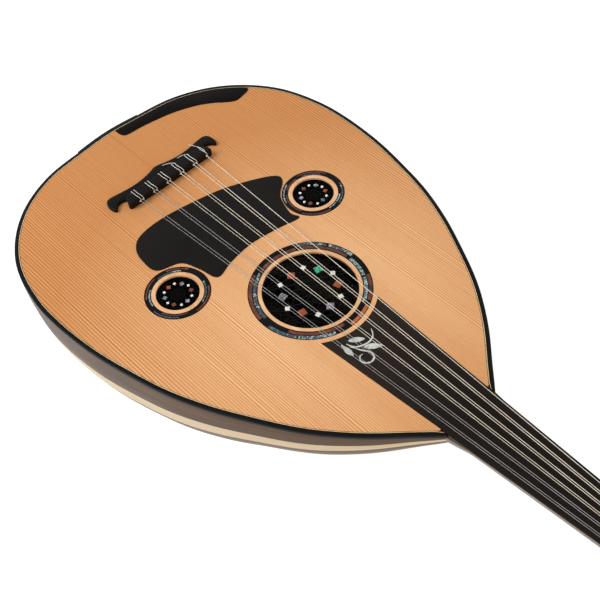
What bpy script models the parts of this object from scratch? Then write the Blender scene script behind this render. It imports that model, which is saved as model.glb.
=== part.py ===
"""Eleven-string oud, lying on its back with the soundboard level and facing up.

+X is the bass side, +Y runs from the neck to the tail and +Z is up. The parts are built
about the centre of the large sound hole, on the soundboard's top face, and are then moved
together so that the origin is the middle of the underside of the whole instrument.
"""
import math

import bmesh
import bpy
from mathutils import Vector

MM = 0.001
GAP = 0.3 * MM

# ---------------------------------------------------------------- driving dimensions
SCALE_LENGTH = 585 * MM
SOUNDBOARD_THICKNESS = 2.0 * MM
EDGE_BAND = 5.5 * MM
BINDING_HEIGHT = 3.2 * MM
RIB_THICKNESS = 2.8 * MM
RIB_COUNT = 17
WIDE_TO_NARROW_RIB = 1.5

# Body edge: distance from a centre on the long axis, by angle from the tail (degrees, mm).
BODY_CENTRE_Y = 109 * MM
BODY_EDGE = (
    (-10, 203), (0, 202.5), (11, 203.4), (24, 210.5), (38, 213.5), (54, 209), (69, 198), (85, 187.6),
    (98, 184.4), (110, 186.1), (122, 194), (133, 205), (144, 221), (156, 247.2), (164, 267.6), (170, 285.2),
    (175.8, 307.5),
)
NECK_JOINT_ANGLE = 174.2
TAIL_OPENING_ANGLE = 5.0
STATION_COUNT = 27

# Bowl: its depth as a share of the half width, its greatest depth and how full its section is.
DEPTH_SHARE = 0.905
DEPTH_SHARE_PER_METRE = 0.957
LEAST_DEPTH_SHARE = 0.85
DEPTH_LIMIT = 196 * MM
DEPTH_LIMIT_SHARPNESS = 16
SECTION_POWER = 2.28

MAIN_RING_OUTER = 57.5 * MM
MAIN_RING_INNER = 44.6 * MM
SMALL_RING_OUTER = 31.1 * MM
SMALL_RING_INNER = 20.5 * MM
SMALL_RING_X = 86.6 * MM
SMALL_RING_Y = 85.8 * MM
ROSETTE_THICKNESS = 1.6 * MM
ROSETTE_LIP = 4.0 * MM
RING_SIDES = 48
SMALL_RING_SIDES = 32

BRIDGE_FRONT_Y = 200.5 * MM
BRIDGE_CENTRE_X = 1.4 * MM
BRIDGE_BLOCK_TOP = 9.6 * MM
BRIDGE_WING_TOP = 3.8 * MM
NUT_Y = BRIDGE_FRONT_Y - SCALE_LENGTH
NUT_LENGTH = 5.0 * MM
NUT_TOP = 1.5 * MM

FINGERBOARD_HALF_WIDTH = 38.6 * MM
FINGERBOARD_TAPER = 0.0531
FINGERBOARD_END_RADIUS = 62.0 * MM
NECK_OVERHANG = 0.3 * MM
NECK_DEPTH_AT_NUT = 24.0 * MM
NECK_SECTION_POWER = 1.7
HEEL_LENGTH = 22.0 * MM

COURSES = 6
STRING_COUNT = 11
COURSE_X_AT_BRIDGE = -38.3 * MM
COURSE_PITCH_AT_BRIDGE = 17.2 * MM
PAIR_HALF_GAP_AT_BRIDGE = 1.65 * MM
COURSE_X_AT_NUT = -14.9 * MM
COURSE_PITCH_AT_NUT = 6.0 * MM
PAIR_HALF_GAP_AT_NUT = 0.8 * MM
STRING_Z_AT_BRIDGE = 5.5 * MM
THIN_STRING_RADIUS = 0.26 * MM
THICK_STRING_RADIUS = 0.42 * MM
STRING_SIDES = 8

PEGBOX_TILT = math.radians(55)
PEGBOX_HALF_WIDTH_NEAR = 19.8 * MM
PEGBOX_HALF_WIDTH_FAR = 13.5 * MM
PEGBOX_CHEEK = 4.2 * MM
PEGBOX_FLOOR = 4.0 * MM
PEGBOX_DEPTH_NEAR = 25.0 * MM
PEGBOX_DEPTH_FAR = 19.0 * MM
PEGBOX_LENGTH = 213 * MM
FIRST_PEG = 27.0 * MM
PEG_PITCH = 15.6 * MM
PEG_LEVEL_NEAR = 11.5 * MM
PEG_LEVEL_FAR = 8.4 * MM
PEG_RADIUS_AT_HEAD = 4.2 * MM
PEG_RADIUS_AT_TIP = 3.4 * MM
PEG_SIDES = 12
PEG_CLEARANCE = 0.35 * MM

PLATE_THICKNESS = 0.7 * MM
CLASP_THICKNESS = 1.5 * MM
CLASP_HALF_SPAN = 39 * MM
PETALS = 12
CUTTER_REACH = 10 * MM

BRACE_POSITIONS = (-66 * MM, 54.6 * MM, 132 * MM)
BRACE_WIDTH = 5.0 * MM
BRACE_HEIGHT = 17.0 * MM
BRACE_END_HEIGHT = 7.0 * MM
BRACE_END_CLEARANCE = 6.0 * MM
BRACE_END_TAPER = 7.0 * MM


# ---------------------------------------------------------------- materials and meshes
def make_material(name, colour, roughness, metallic=0.0):
    material = bpy.data.materials.new(name)
    material.use_nodes = True
    shader = material.node_tree.nodes["Principled BSDF"]
    shader.inputs["Base Color"].default_value = (*colour, 1.0)
    shader.inputs["Roughness"].default_value = roughness
    shader.inputs["Metallic"].default_value = metallic
    material.diffuse_color = (*colour, 1.0)
    return material


def mesh_object(name, points, faces, material, smooth=False):
    """An object from points and faces, closed and facing out."""
    build = bmesh.new()
    corners = [build.verts.new(point) for point in points]
    for face in faces:
        build.faces.new([corners[index] for index in face])
    bmesh.ops.recalc_face_normals(build, faces=build.faces)
    mesh = bpy.data.meshes.new(name)
    build.to_mesh(mesh)
    build.free()
    mesh.materials.append(material)
    if smooth:
        mesh.shade_smooth()
        mesh.set_sharp_from_angle(angle=math.radians(35))
    item = bpy.data.objects.new(name, mesh)
    bpy.context.collection.objects.link(item)
    return item


def loft(name, rings, material, smooth=False):
    """A solid skinned over rings that all have the same number of points."""
    count = len(rings[0])
    points = [point for ring in rings for point in ring]
    faces = []
    for row in range(len(rings) - 1):
        for column in range(count):
            following = (column + 1) % count
            low = row * count
            high = low + count
            faces.append((low + column, low + following, high + following, high + column))
    faces.append(tuple(range(count)))
    faces.append(tuple(range(len(points) - count, len(points))))
    return mesh_object(name, points, faces, material, smooth)


def prism(name, outline, z_low, z_high, material):
    """A flat plate: an outline in plan between two levels."""
    rings = [[Vector((x, y, z)) for x, y in outline] for z in (z_low, z_high)]
    return loft(name, rings, material)


def circle(radius, sides, centre):
    angles = [math.tau * step / sides for step in range(sides)]
    return [(centre[0] + radius * math.cos(a), centre[1] + radius * math.sin(a)) for a in angles]


def apply_boolean(target, tool, operation):
    """Join or cut with a second object, which is then removed."""
    modifier = target.modifiers.new(operation.lower(), "BOOLEAN")
    modifier.operation = operation
    modifier.solver = "EXACT"
    modifier.object = tool
    bpy.context.view_layer.update()
    evaluated = target.evaluated_get(bpy.context.evaluated_depsgraph_get())
    mesh = bpy.data.meshes.new_from_object(evaluated)
    target.modifiers.clear()
    target.data = mesh
    bpy.data.objects.remove(tool)


def catmull_rom(before, start, end, after, share):
    """A smooth value between start and end, steered by the value on each side."""
    square = share * share
    cube = square * share
    return 0.5 * (
        2 * start
        + (end - before) * share
        + (2 * before - 5 * start + 4 * end - after) * square
        + (3 * start - before - 3 * end + after) * cube
    )


def smooth_loop(points, steps):
    """A closed smooth outline through a few hand-placed points."""
    count = len(points)
    outline = []
    for index in range(count):
        around = [points[(index + offset) % count] for offset in (-1, 0, 1, 2)]
        for step in range(steps):
            share = step / steps
            outline.append(tuple(catmull_rom(*(p[axis] for p in around), share) for axis in (0, 1)))
    return outline


# ---------------------------------------------------------------- body outline and bowl
def edge_radius(angle):
    """Distance of the body's edge from the body centre, at an angle in degrees from the tail."""
    for index in range(1, len(BODY_EDGE) - 1):
        if angle <= BODY_EDGE[index + 1][0] or index == len(BODY_EDGE) - 2:
            break
    before, start, end = BODY_EDGE[index - 1:index + 2]
    after = BODY_EDGE[min(index + 2, len(BODY_EDGE) - 1)]
    span = end[0] - start[0]
    share = (angle - start[0]) / span
    slope_start = (end[1] - before[1]) / (end[0] - before[0]) * span
    slope_end = (after[1] - start[1]) / (after[0] - start[0]) * span
    square = share * share
    cube = square * share
    radius = (
        (2 * cube - 3 * square + 1) * start[1]
        + (cube - 2 * square + share) * slope_start
        + (3 * square - 2 * cube) * end[1]
        + (cube - square) * slope_end
    )
    return radius * MM


def edge_point(angle, inset=0.0):
    """A point of the body's edge in plan, moved inwards by inset."""
    def on_edge(degrees):
        turn = math.radians(degrees)
        radius = edge_radius(abs(degrees))
        return Vector((radius * math.sin(turn), BODY_CENTRE_Y + radius * math.cos(turn)))

    step = 0.25
    along = on_edge(angle + step) - on_edge(angle - step)
    inward = Vector((along.y, -along.x)).normalized()
    return on_edge(angle) + inward * inset


def bowl_depth(half_width, y):
    """Depth of the bowl under the soundboard's face where it is this wide."""
    share = max(LEAST_DEPTH_SHARE, DEPTH_SHARE + DEPTH_SHARE_PER_METRE * y)
    free_depth = share * half_width
    power = DEPTH_LIMIT_SHARPNESS
    return (free_depth ** -power + DEPTH_LIMIT ** -power) ** (-1 / power)


def section_point(half_width, depth, turn, power=SECTION_POWER):
    """A point of a cross-section: turn is 0 under the middle and +-90 degrees at the edges."""
    side = math.sin(turn)
    down = math.cos(turn)
    size = (abs(side) ** power + abs(down) ** power) ** (1 / power)
    return half_width * side / size, -depth * down / size


def station_angles():
    """Edge angles of the cross-sections, from the tail opening to the neck joint."""
    span = NECK_JOINT_ANGLE - TAIL_OPENING_ANGLE
    return [TAIL_OPENING_ANGLE + span * step / (STATION_COUNT - 1) for step in range(STATION_COUNT)]


def bowl_stations():
    """Each cross-section's y, half width and depth, with two equal depths at the deepest place."""
    stations = []
    for angle in station_angles():
        x, y = edge_point(angle)
        stations.append([y, x, bowl_depth(x, y)])
    deepest = max(range(len(stations) - 1), key=lambda i: stations[i][2] + stations[i + 1][2])
    level = 0.5 * (stations[deepest][2] + stations[deepest + 1][2])
    stations[deepest][2] = level
    stations[deepest + 1][2] = level
    return stations


def bowl_surface(stations, index, turn):
    y, half_width, depth = stations[index]
    x, z = section_point(half_width, depth, turn)
    return Vector((x, y, z))


def surface_normal(stations, index, turn):
    """Outward direction of the bowl, square to its surface at a station."""
    small = math.radians(0.5)
    before = max(index - 1, 0)
    after = min(index + 1, len(stations) - 1)
    along = bowl_surface(stations, after, turn) - bowl_surface(stations, before, turn)
    across = bowl_surface(stations, index, turn + small) - bowl_surface(stations, index, turn - small)
    return across.cross(along).normalized(), across.normalized()


def rib_turns():
    """Turns of the seams between ribs, which alternate wide and narrow in the widest section."""
    steps = 900
    quarter = math.pi / 2
    turns = [-quarter + math.pi * step / steps for step in range(steps + 1)]
    path = [Vector(section_point(1.0, 1.03, turn)) for turn in turns]
    lengths = [0.0]
    for here, there in zip(path, path[1:]):
        lengths.append(lengths[-1] + (there - here).length)
    weights = [WIDE_TO_NARROW_RIB if index % 2 == 0 else 1.0 for index in range(RIB_COUNT)]
    seams = []
    for index in range(RIB_COUNT + 1):
        target = lengths[-1] * sum(weights[:index]) / sum(weights)
        nearest = min(range(steps + 1), key=lambda i: abs(lengths[i] - target))
        seams.append(turns[nearest])
    for index in range(RIB_COUNT // 2 + 1):
        seams[RIB_COUNT - index] = -seams[index]
    return seams


def turn_at_level(half_width, depth, level, side):
    """The turn at which a section's outer face is at a level just under the edge."""
    low, high = 0.0, math.pi / 2
    for _ in range(40):
        middle = 0.5 * (low + high)
        if section_point(half_width, depth, middle)[1] < level:
            low = middle
        else:
            high = middle
    return side * low


def build_ribs(stations, seams, woods):
    """Bent ribs of alternating wood, which meet edge to edge and taper to both ends."""
    rim_level = -BINDING_HEIGHT - GAP
    for rib in range(RIB_COUNT):
        rings = []
        for index in range(len(stations)):
            _, half_width, depth = stations[index]
            ring = []
            for seam, side in ((rib, 1), (rib + 1, -1)):
                turn = seams[seam]
                if seam in (0, RIB_COUNT):
                    turn = turn_at_level(half_width, depth, rim_level, 1 if seam else -1)
                normal, across = surface_normal(stations, index, turn)
                outer = bowl_surface(stations, index, turn) + across * side * GAP / 2
                inner = outer - normal * RIB_THICKNESS
                if seam in (0, RIB_COUNT):
                    outer.z = rim_level
                    inner.z = rim_level
                ring.append((outer, inner))
            rings.append([ring[0][0], ring[1][0], ring[1][1], ring[0][1]])
        loft(f"rib_{rib + 1:02d}", rings, woods[rib % 2])


def block_rings(stations, seams, indices, top_level):
    """Rings that fill the inside of the bowl at some stations, up to a level."""
    rings = []
    for index in indices:
        _, half_width, depth = stations[index]
        ring = []
        for seam in range(RIB_COUNT + 1):
            turn = seams[seam]
            if seam in (0, RIB_COUNT):
                turn = turn_at_level(half_width, depth, top_level, 1 if seam else -1)
            normal, _ = surface_normal(stations, index, turn)
            point = bowl_surface(stations, index, turn) - normal * (RIB_THICKNESS + 2 * GAP)
            if seam in (0, RIB_COUNT):
                point.z = top_level
            ring.append(point)
        rings.append(ring)
    return rings


def build_end_blocks(stations, seams, spruce):
    """Solid blocks inside the bowl at the neck and at the tail, which the ribs are glued to."""
    level = -BINDING_HEIGHT - 2 * GAP
    last = len(stations) - 1
    loft("neck_block", block_rings(stations, seams, (last - 2, last - 1, last), level), spruce)
    loft("tail_block", block_rings(stations, seams, (0, 1), level), spruce)


def build_binding(ebony):
    """Black edging around the soundboard, open at the neck."""
    inner = EDGE_BAND - GAP
    angles = station_angles()
    angles = [-angle for angle in reversed(angles)] + [0.0] + angles
    rings = []
    for angle in angles:
        outer_x, outer_y = edge_point(angle)
        inner_x, inner_y = edge_point(angle, inner)
        beside_neck = fingerboard_half_width(inner_y) + NECK_OVERHANG + GAP
        if abs(angle) > 90:
            inner_x = math.copysign(max(abs(inner_x), beside_neck), inner_x)
        rings.append([
            Vector((outer_x, outer_y, 0.0)),
            Vector((outer_x, outer_y, -BINDING_HEIGHT)),
            Vector((inner_x, inner_y, -BINDING_HEIGHT)),
            Vector((inner_x, inner_y, 0.0)),
        ])
    loft("binding", rings, ebony)


def surface_y(x, z):
    """How far towards the tail the bowl reaches above one point of the X-Z plane."""
    low, high = 60.0, 0.0
    for _ in range(40):
        middle = 0.5 * (low + high)
        half_width, y = edge_point(middle)
        depth = bowl_depth(half_width, y)
        if (abs(x) / half_width) ** SECTION_POWER + (abs(z) / depth) ** SECTION_POWER < 1.0:
            low = middle
        else:
            high = middle
    return edge_point(low).y


def build_end_clasp(ebony):
    """Curved cap over the tail ends of the ribs, tapered to its tips."""
    columns = 12
    rows = 4
    tip_drop = 5 * MM
    middle_drop = 19 * MM
    grid = []
    for column in range(columns + 1):
        share = 2 * column / columns - 1
        x = CLASP_HALF_SPAN * share
        drop = tip_drop + middle_drop * (1 - share * share)
        line = [(x, -drop * row / rows) for row in range(rows + 1)]
        grid.append(line)
    inner = []
    outer = []
    for column, line in enumerate(grid):
        share = 2 * column / columns - 1
        plate = CLASP_THICKNESS * (1 - 0.6 * abs(share) ** 3)
        for x, z in line:
            y = surface_y(x, z) + 2 * GAP
            inner.append(Vector((x, y, z)))
            outer.append(Vector((x, y + plate, z)))
    points = inner + outer
    shift = len(inner)
    width = rows + 1
    faces = []
    for column in range(columns):
        for row in range(rows):
            corner = column * width + row
            quad = (corner, corner + 1, corner + width + 1, corner + width)
            faces.append(quad)
            faces.append(tuple(index + shift for index in quad))
    border = list(range(width))
    border += [column * width + rows for column in range(1, columns + 1)]
    border += [columns * width + row for row in range(rows - 1, -1, -1)]
    border += [column * width for column in range(columns - 1, 0, -1)]
    for here, there in zip(border, border[1:] + border[:1]):
        faces.append((here, there, there + shift, here + shift))
    mesh_object("end_clasp", points, faces, ebony, smooth=True)


# ---------------------------------------------------------------- soundboard and its fittings
def fingerboard_half_width(y):
    return FINGERBOARD_HALF_WIDTH + FINGERBOARD_TAPER * y


def fingerboard_end_arc(radius, overlap, steps=10):
    """The concave end of the fingerboard, from its -X corner to its +X corner."""
    slope = FINGERBOARD_TAPER
    width = FINGERBOARD_HALF_WIDTH + overlap
    a = 1 + slope * slope
    b = 2 * slope * width
    c = width * width - radius * radius
    corner_y = (-b - math.sqrt(b * b - 4 * a * c)) / (2 * a)
    corner_x = width + slope * corner_y
    limit = math.atan2(corner_x, -corner_y)
    turns = [-limit + 2 * limit * step / steps for step in range(steps + 1)]
    return [(radius * math.sin(turn), -radius * math.cos(turn)) for turn in turns]


def build_soundboard(spruce):
    """Spruce plate with three round holes and a notch that takes the fingerboard's tongue."""
    right = []
    for angle in station_angles():
        point = edge_point(angle, EDGE_BAND)
        beside_neck = fingerboard_half_width(point.y) + GAP
        if angle > 90 and point.x < beside_neck:
            last_x, last_y = right[-1]
            last_beside = last_x - fingerboard_half_width(last_y) - GAP
            share = last_beside / (last_beside + beside_neck - point.x)
            right.append((last_x + (point.x - last_x) * share, last_y + (point.y - last_y) * share))
            break
        right.append(tuple(point))
    left = [(-x, y) for x, y in reversed(right)]
    notch = fingerboard_end_arc(FINGERBOARD_END_RADIUS - GAP, GAP)
    outline = left + [tuple(edge_point(0.0, EDGE_BAND))] + right + list(reversed(notch))
    top = prism("soundboard", outline, -SOUNDBOARD_THICKNESS, 0.0, spruce)
    holes = ((0.0, 0.0, MAIN_RING_OUTER), (SMALL_RING_X, SMALL_RING_Y, SMALL_RING_OUTER),
             (-SMALL_RING_X, SMALL_RING_Y, SMALL_RING_OUTER))
    for x, y, radius in holes:
        outline = circle(radius + GAP, ring_sides(radius), (x, y))
        cutter = prism("hole_cutter", outline, -CUTTER_REACH, CUTTER_REACH, spruce)
        apply_boolean(top, cutter, "DIFFERENCE")


def ring_sides(radius):
    return RING_SIDES if radius > SMALL_RING_OUTER + GAP else SMALL_RING_SIDES


def annulus(name, centre, outer_radius, inner_radius, z_low, z_high, material):
    """A flat ring, as a square profile carried round a circle."""
    sides = ring_sides(outer_radius)
    profile = (
        (outer_radius, z_high), (outer_radius, z_low),
        (inner_radius, z_low), (inner_radius, z_high),
    )
    points = []
    faces = []
    for step in range(sides):
        turn = math.tau * step / sides
        for radius, z in profile:
            x = centre[0] + radius * math.cos(turn)
            y = centre[1] + radius * math.sin(turn)
            points.append(Vector((x, y, z)))
    for step in range(sides):
        near = 4 * step
        far = 4 * ((step + 1) % sides)
        for side in range(4):
            following = (side + 1) % 4
            faces.append((near + side, near + following, far + following, far + side))
    return mesh_object(name, points, faces, material)


def build_rosette(name, centre, hole_radius, wood):
    """Carved disc behind a sound hole: a hub, twelve slender petals cut through it and a rim."""
    radius = hole_radius + ROSETTE_LIP
    top = -SOUNDBOARD_THICKNESS - GAP
    outline = circle(radius, ring_sides(radius), centre)
    disc = prism(name, outline, top - ROSETTE_THICKNESS, top, wood)
    inner = 0.34 * hole_radius
    outer = 0.88 * hole_radius
    middle = 0.5 * (inner + outer)
    half_slot = 0.036 * hole_radius
    for petal in range(PETALS):
        turn = math.tau * (petal + 0.5) / PETALS
        along = Vector((math.cos(turn), math.sin(turn)))
        across = Vector((-along.y, along.x))
        shape = ((inner, 0.0), (middle, half_slot), (outer, 0.0), (middle, -half_slot))
        outline = [tuple(Vector(centre) + along * a + across * b) for a, b in shape]
        cutter = prism("petal_cutter", outline, top - CUTTER_REACH, top + CUTTER_REACH, wood)
        apply_boolean(disc, cutter, "DIFFERENCE")


def build_sound_holes(wood, rosewood):
    places = (("main", (0.0, 0.0), MAIN_RING_OUTER, MAIN_RING_INNER),
              ("bass", (SMALL_RING_X, SMALL_RING_Y), SMALL_RING_OUTER, SMALL_RING_INNER),
              ("treble", (-SMALL_RING_X, SMALL_RING_Y), SMALL_RING_OUTER, SMALL_RING_INNER))
    for label, centre, outer_radius, inner_radius in places:
        bottom = -SOUNDBOARD_THICKNESS
        annulus(f"ring_{label}", centre, outer_radius, inner_radius, bottom, 0.0, rosewood)
        build_rosette(f"rosette_{label}", centre, inner_radius, wood)


def build_pickguard(ebony):
    """Thin plate between the bridge and the small sound holes, hugging both rings."""
    points = (
        (-80.5, 156), (-66, 167), (-33, 168.7), (17.4, 159.1), (48, 147.7), (76, 131.5), (77.5, 120.5),
        (61, 105.5), (52.5, 83), (54, 71.5), (30, 76.5), (0, 80.6), (-28, 77.5), (-49, 72.5),
        (-54.5, 92), (-62, 111), (-83.5, 120.5), (-85.5, 139),
    )
    outline = smooth_loop([(x * MM, y * MM) for x, y in points], 3)
    prism("pickguard", outline, GAP, GAP + PLATE_THICKNESS, ebony)


def build_arm_guard(ebony):
    """Thin plate along the bass side of the tail, where the player's arm rests."""
    first_angle = 2.0
    last_angle = 46.0
    steps = 10
    outer = []
    for step in range(steps + 1):
        angle = first_angle + (last_angle - first_angle) * step / steps
        outer.append(tuple(edge_point(angle, EDGE_BAND + 3 * GAP)))
    inner = [
        (137, 247.5), (126, 246.5), (116, 253.5), (107, 261.5),
        (91, 272), (65, 282), (34, 288.5), (12, 291.5),
    ]
    outline = outer + [(x * MM, y * MM) for x, y in inner]
    prism("arm_guard", outline, GAP, GAP + PLATE_THICKNESS, ebony)


def build_bridge(ebony):
    """Tie block on a thin base whose ends curl forward into horns."""
    half_base = (
        (0, 29), (9, 26), (19, 23.6), (33, 22.8), (47, 24.4), (59, 26.6), (64.5, 25.2), (67, 20.5),
        (67.2, 14), (66, 8.6), (64, 7.8), (62.6, 9.4), (60, 12.8), (56, 14.8), (51.6, 14.3), (48.4, 12.6),
        (52.8, 4.5), (52.8, 0),
    )
    right = [(x * MM, y * MM) for x, y in half_base]
    left = [(-x, y) for x, y in reversed(right[1:])]
    base = prism("bridge", right + left, GAP, BRIDGE_WING_TOP, ebony)
    half_block = ((52.4, 0.4), (52.4, 4.6), (47.6, 12.6))
    right = [(x * MM, y * MM) for x, y in half_block]
    left = [(-x, y) for x, y in reversed(right)]
    block = prism("tie_block", right + left, GAP + 0.5 * MM, BRIDGE_BLOCK_TOP, ebony)
    apply_boolean(base, block, "UNION")
    base.location = (BRIDGE_CENTRE_X, BRIDGE_FRONT_Y, 0.0)


def build_braces(stations, spruce):
    """Bars glued across the underside of the soundboard."""
    top = -SOUNDBOARD_THICKNESS - GAP
    low = top - BRACE_HEIGHT
    shoulder = top - BRACE_END_HEIGHT
    for number, y in enumerate(BRACE_POSITIONS, start=1):
        half_width, depth = section_at(stations, y)
        x_top = half_width - EDGE_BAND - BRACE_END_CLEARANCE
        x_low = section_point(half_width, depth, math.acos(1.2 * BRACE_HEIGHT / depth))[0]
        x_low = min(x_top, x_low - RIB_THICKNESS - BRACE_END_CLEARANCE) - BRACE_END_TAPER
        profile = (
            (x_top, top), (x_top, shoulder), (x_low, low),
            (-x_low, low), (-x_top, shoulder), (-x_top, top),
        )
        rings = []
        for offset in (-BRACE_WIDTH / 2, BRACE_WIDTH / 2):
            rings.append([Vector((x, y + offset, z)) for x, z in profile])
        loft(f"brace_{number}", rings, spruce)


def section_at(stations, y):
    """Half width and depth of the bowl at any y, between its stations."""
    for here, there in zip(stations, stations[1:]):
        if there[0] <= y <= here[0]:
            share = (y - here[0]) / (there[0] - here[0])
            return tuple(here[axis] + (there[axis] - here[axis]) * share for axis in (1, 2))
    return stations[-1][1], stations[-1][2]


# ---------------------------------------------------------------- neck
def build_fingerboard(ebony):
    """Tapered board, level with the soundboard, whose tongue ends in a hollow round the main ring."""
    arc = fingerboard_end_arc(FINGERBOARD_END_RADIUS, 0.0)
    nut_end = NUT_Y + GAP
    half = fingerboard_half_width(nut_end)
    outline = [(-half, nut_end), (half, nut_end)] + list(reversed(arc))
    prism("fingerboard", outline, -SOUNDBOARD_THICKNESS, 0.0, ebony)


def neck_section(half_width, depth, y_at_top, power, slant=0.0):
    """Flat-topped round section; a slant carries its lower points towards the tail."""
    top = -SOUNDBOARD_THICKNESS - GAP
    steps = 12
    ring = []
    for step in range(steps + 1):
        turn = -math.pi / 2 + math.pi * step / steps
        x, z = section_point(half_width, depth + top, turn, power)
        ring.append(Vector((x, y_at_top - z * slant, z + top)))
    return ring


def build_neck(stations, walnut):
    """Neck from the bowl to the slanted joint with the pegbox."""
    joint_y, joint_half_width, joint_depth = stations[-1]
    start = joint_y - GAP
    shoulder = joint_y - HEEL_LENGTH
    half_at_shoulder = fingerboard_half_width(shoulder) + NECK_OVERHANG
    end_y = NUT_Y - NUT_LENGTH - 2 * GAP
    half_at_nut = fingerboard_half_width(NUT_Y) + NECK_OVERHANG
    slant = math.tan(PEGBOX_TILT / 2)
    rings = [
        neck_section(joint_half_width, joint_depth, start, SECTION_POWER),
        neck_section(half_at_shoulder, joint_depth - 0.4 * MM, shoulder, NECK_SECTION_POWER),
        neck_section(half_at_nut, NECK_DEPTH_AT_NUT, end_y, NECK_SECTION_POWER, slant),
    ]
    loft("neck", rings, walnut, smooth=True)


def build_nut(bone):
    half = fingerboard_half_width(NUT_Y)
    outline = ((-half, NUT_Y - NUT_LENGTH), (half, NUT_Y - NUT_LENGTH), (half, NUT_Y), (-half, NUT_Y))
    prism("nut", outline, -SOUNDBOARD_THICKNESS, NUT_TOP, bone)


# ---------------------------------------------------------------- pegbox, pegs and strings
def pegbox_point(along, below, x=0.0):
    """A point of the pegbox: along it from the nut, and below its open face."""
    start_y = NUT_Y - NUT_LENGTH - 3 * GAP
    start_z = -SOUNDBOARD_THICKNESS - GAP
    y = start_y - along * math.cos(PEGBOX_TILT) + below * math.sin(PEGBOX_TILT)
    z = start_z - along * math.sin(PEGBOX_TILT) - below * math.cos(PEGBOX_TILT)
    return Vector((x, y, z))


def pegbox_half_width(along):
    share = min(max(along / PEGBOX_LENGTH, 0.0), 1.0)
    return PEGBOX_HALF_WIDTH_NEAR + (PEGBOX_HALF_WIDTH_FAR - PEGBOX_HALF_WIDTH_NEAR) * share


def pegbox_depth(along):
    share = min(max(along / PEGBOX_LENGTH, 0.0), 1.0)
    return PEGBOX_DEPTH_NEAR + (PEGBOX_DEPTH_FAR - PEGBOX_DEPTH_NEAR) * share


def side_solid(name, profile, narrowing, material):
    """A solid from a side view of the pegbox, as wide at each point as its distance along allows."""
    rings = []
    for side in (-1, 1):
        ring = []
        for along, below in profile:
            x = side * (pegbox_half_width(along) - narrowing)
            ring.append(pegbox_point(along, below, x))
        rings.append(ring)
    return loft(name, rings, material)


def peg_level(along):
    share = (along - FIRST_PEG) / (PEG_PITCH * (STRING_COUNT - 1))
    return PEG_LEVEL_NEAR + (PEG_LEVEL_FAR - PEG_LEVEL_NEAR) * share


def peg_along(peg):
    return FIRST_PEG + PEG_PITCH * peg


def peg_head_side(peg):
    return -1 if peg % 2 == 0 else 1


def turned_ring(x, radius):
    turns = [math.tau * (step + 0.5) / PEG_SIDES for step in range(PEG_SIDES)]
    return [Vector((x, radius * math.cos(turn), radius * math.sin(turn))) for turn in turns]


def build_pegbox(floor_level, walnut):
    """Open box for the tuning pegs, with a peg hole in each cheek and a flat foot at its far end."""
    slope = math.tan(PEGBOX_TILT / 2)
    near_depth = pegbox_depth(0.0)
    foot_along = PEGBOX_LENGTH
    foot_top = pegbox_point(foot_along, 0.0)
    tilt_sin = math.sin(PEGBOX_TILT)
    tilt_cos = math.cos(PEGBOX_TILT)
    end_below = 6 * MM
    end_along = (foot_top.z - floor_level - end_below * tilt_cos) / tilt_sin + foot_along
    heel_below = pegbox_depth(foot_along)
    heel_along = end_along - (heel_below - end_below) * tilt_cos / tilt_sin
    outline = [
        (0.0, 0.0), (foot_along - 6 * MM, 0.0), (foot_along, 1.5 * MM), (end_along, end_below),
        (heel_along, heel_below), (near_depth * slope, near_depth),
    ]
    box = side_solid("pegbox", outline, 0.0, walnut)
    inner_end = foot_along - 16 * MM
    inner_start = 14 * MM
    clear_of_box = 9 * MM
    channel = [
        (-clear_of_box, -clear_of_box), (inner_end + 3 * MM, -clear_of_box),
        (inner_end, pegbox_depth(inner_end) - PEGBOX_FLOOR),
        (inner_start, pegbox_depth(inner_start) - PEGBOX_FLOOR), (0.0, 3 * MM), (-clear_of_box, 3 * MM),
    ]
    apply_boolean(box, side_solid("channel_cutter", channel, PEGBOX_CHEEK, walnut), "DIFFERENCE")
    for peg in range(STRING_COUNT):
        side = peg_head_side(peg)
        widen = 1 / math.cos(math.pi / PEG_SIDES)
        reach = pegbox_half_width(0.0) + 8 * MM
        rings = []
        for x in (side * reach, -side * reach):
            radius = (shaft_radius(peg, x) + PEG_CLEARANCE) * widen
            rings.append(turned_ring(x, radius))
        centre = pegbox_point(peg_along(peg), peg_level(peg_along(peg)))
        rings = [[point + centre for point in ring] for ring in rings]
        apply_boolean(box, loft("peg_hole_cutter", rings, walnut), "DIFFERENCE")


def shaft_radius(peg, x):
    """Radius of a peg's tapered shaft at x, largest at the head's side of the pegbox."""
    reach = PEGBOX_HALF_WIDTH_NEAR + 4 * MM
    share = 0.5 + 0.5 * peg_head_side(peg) * x / reach
    return PEG_RADIUS_AT_TIP + (PEG_RADIUS_AT_HEAD - PEG_RADIUS_AT_TIP) * share


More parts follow.
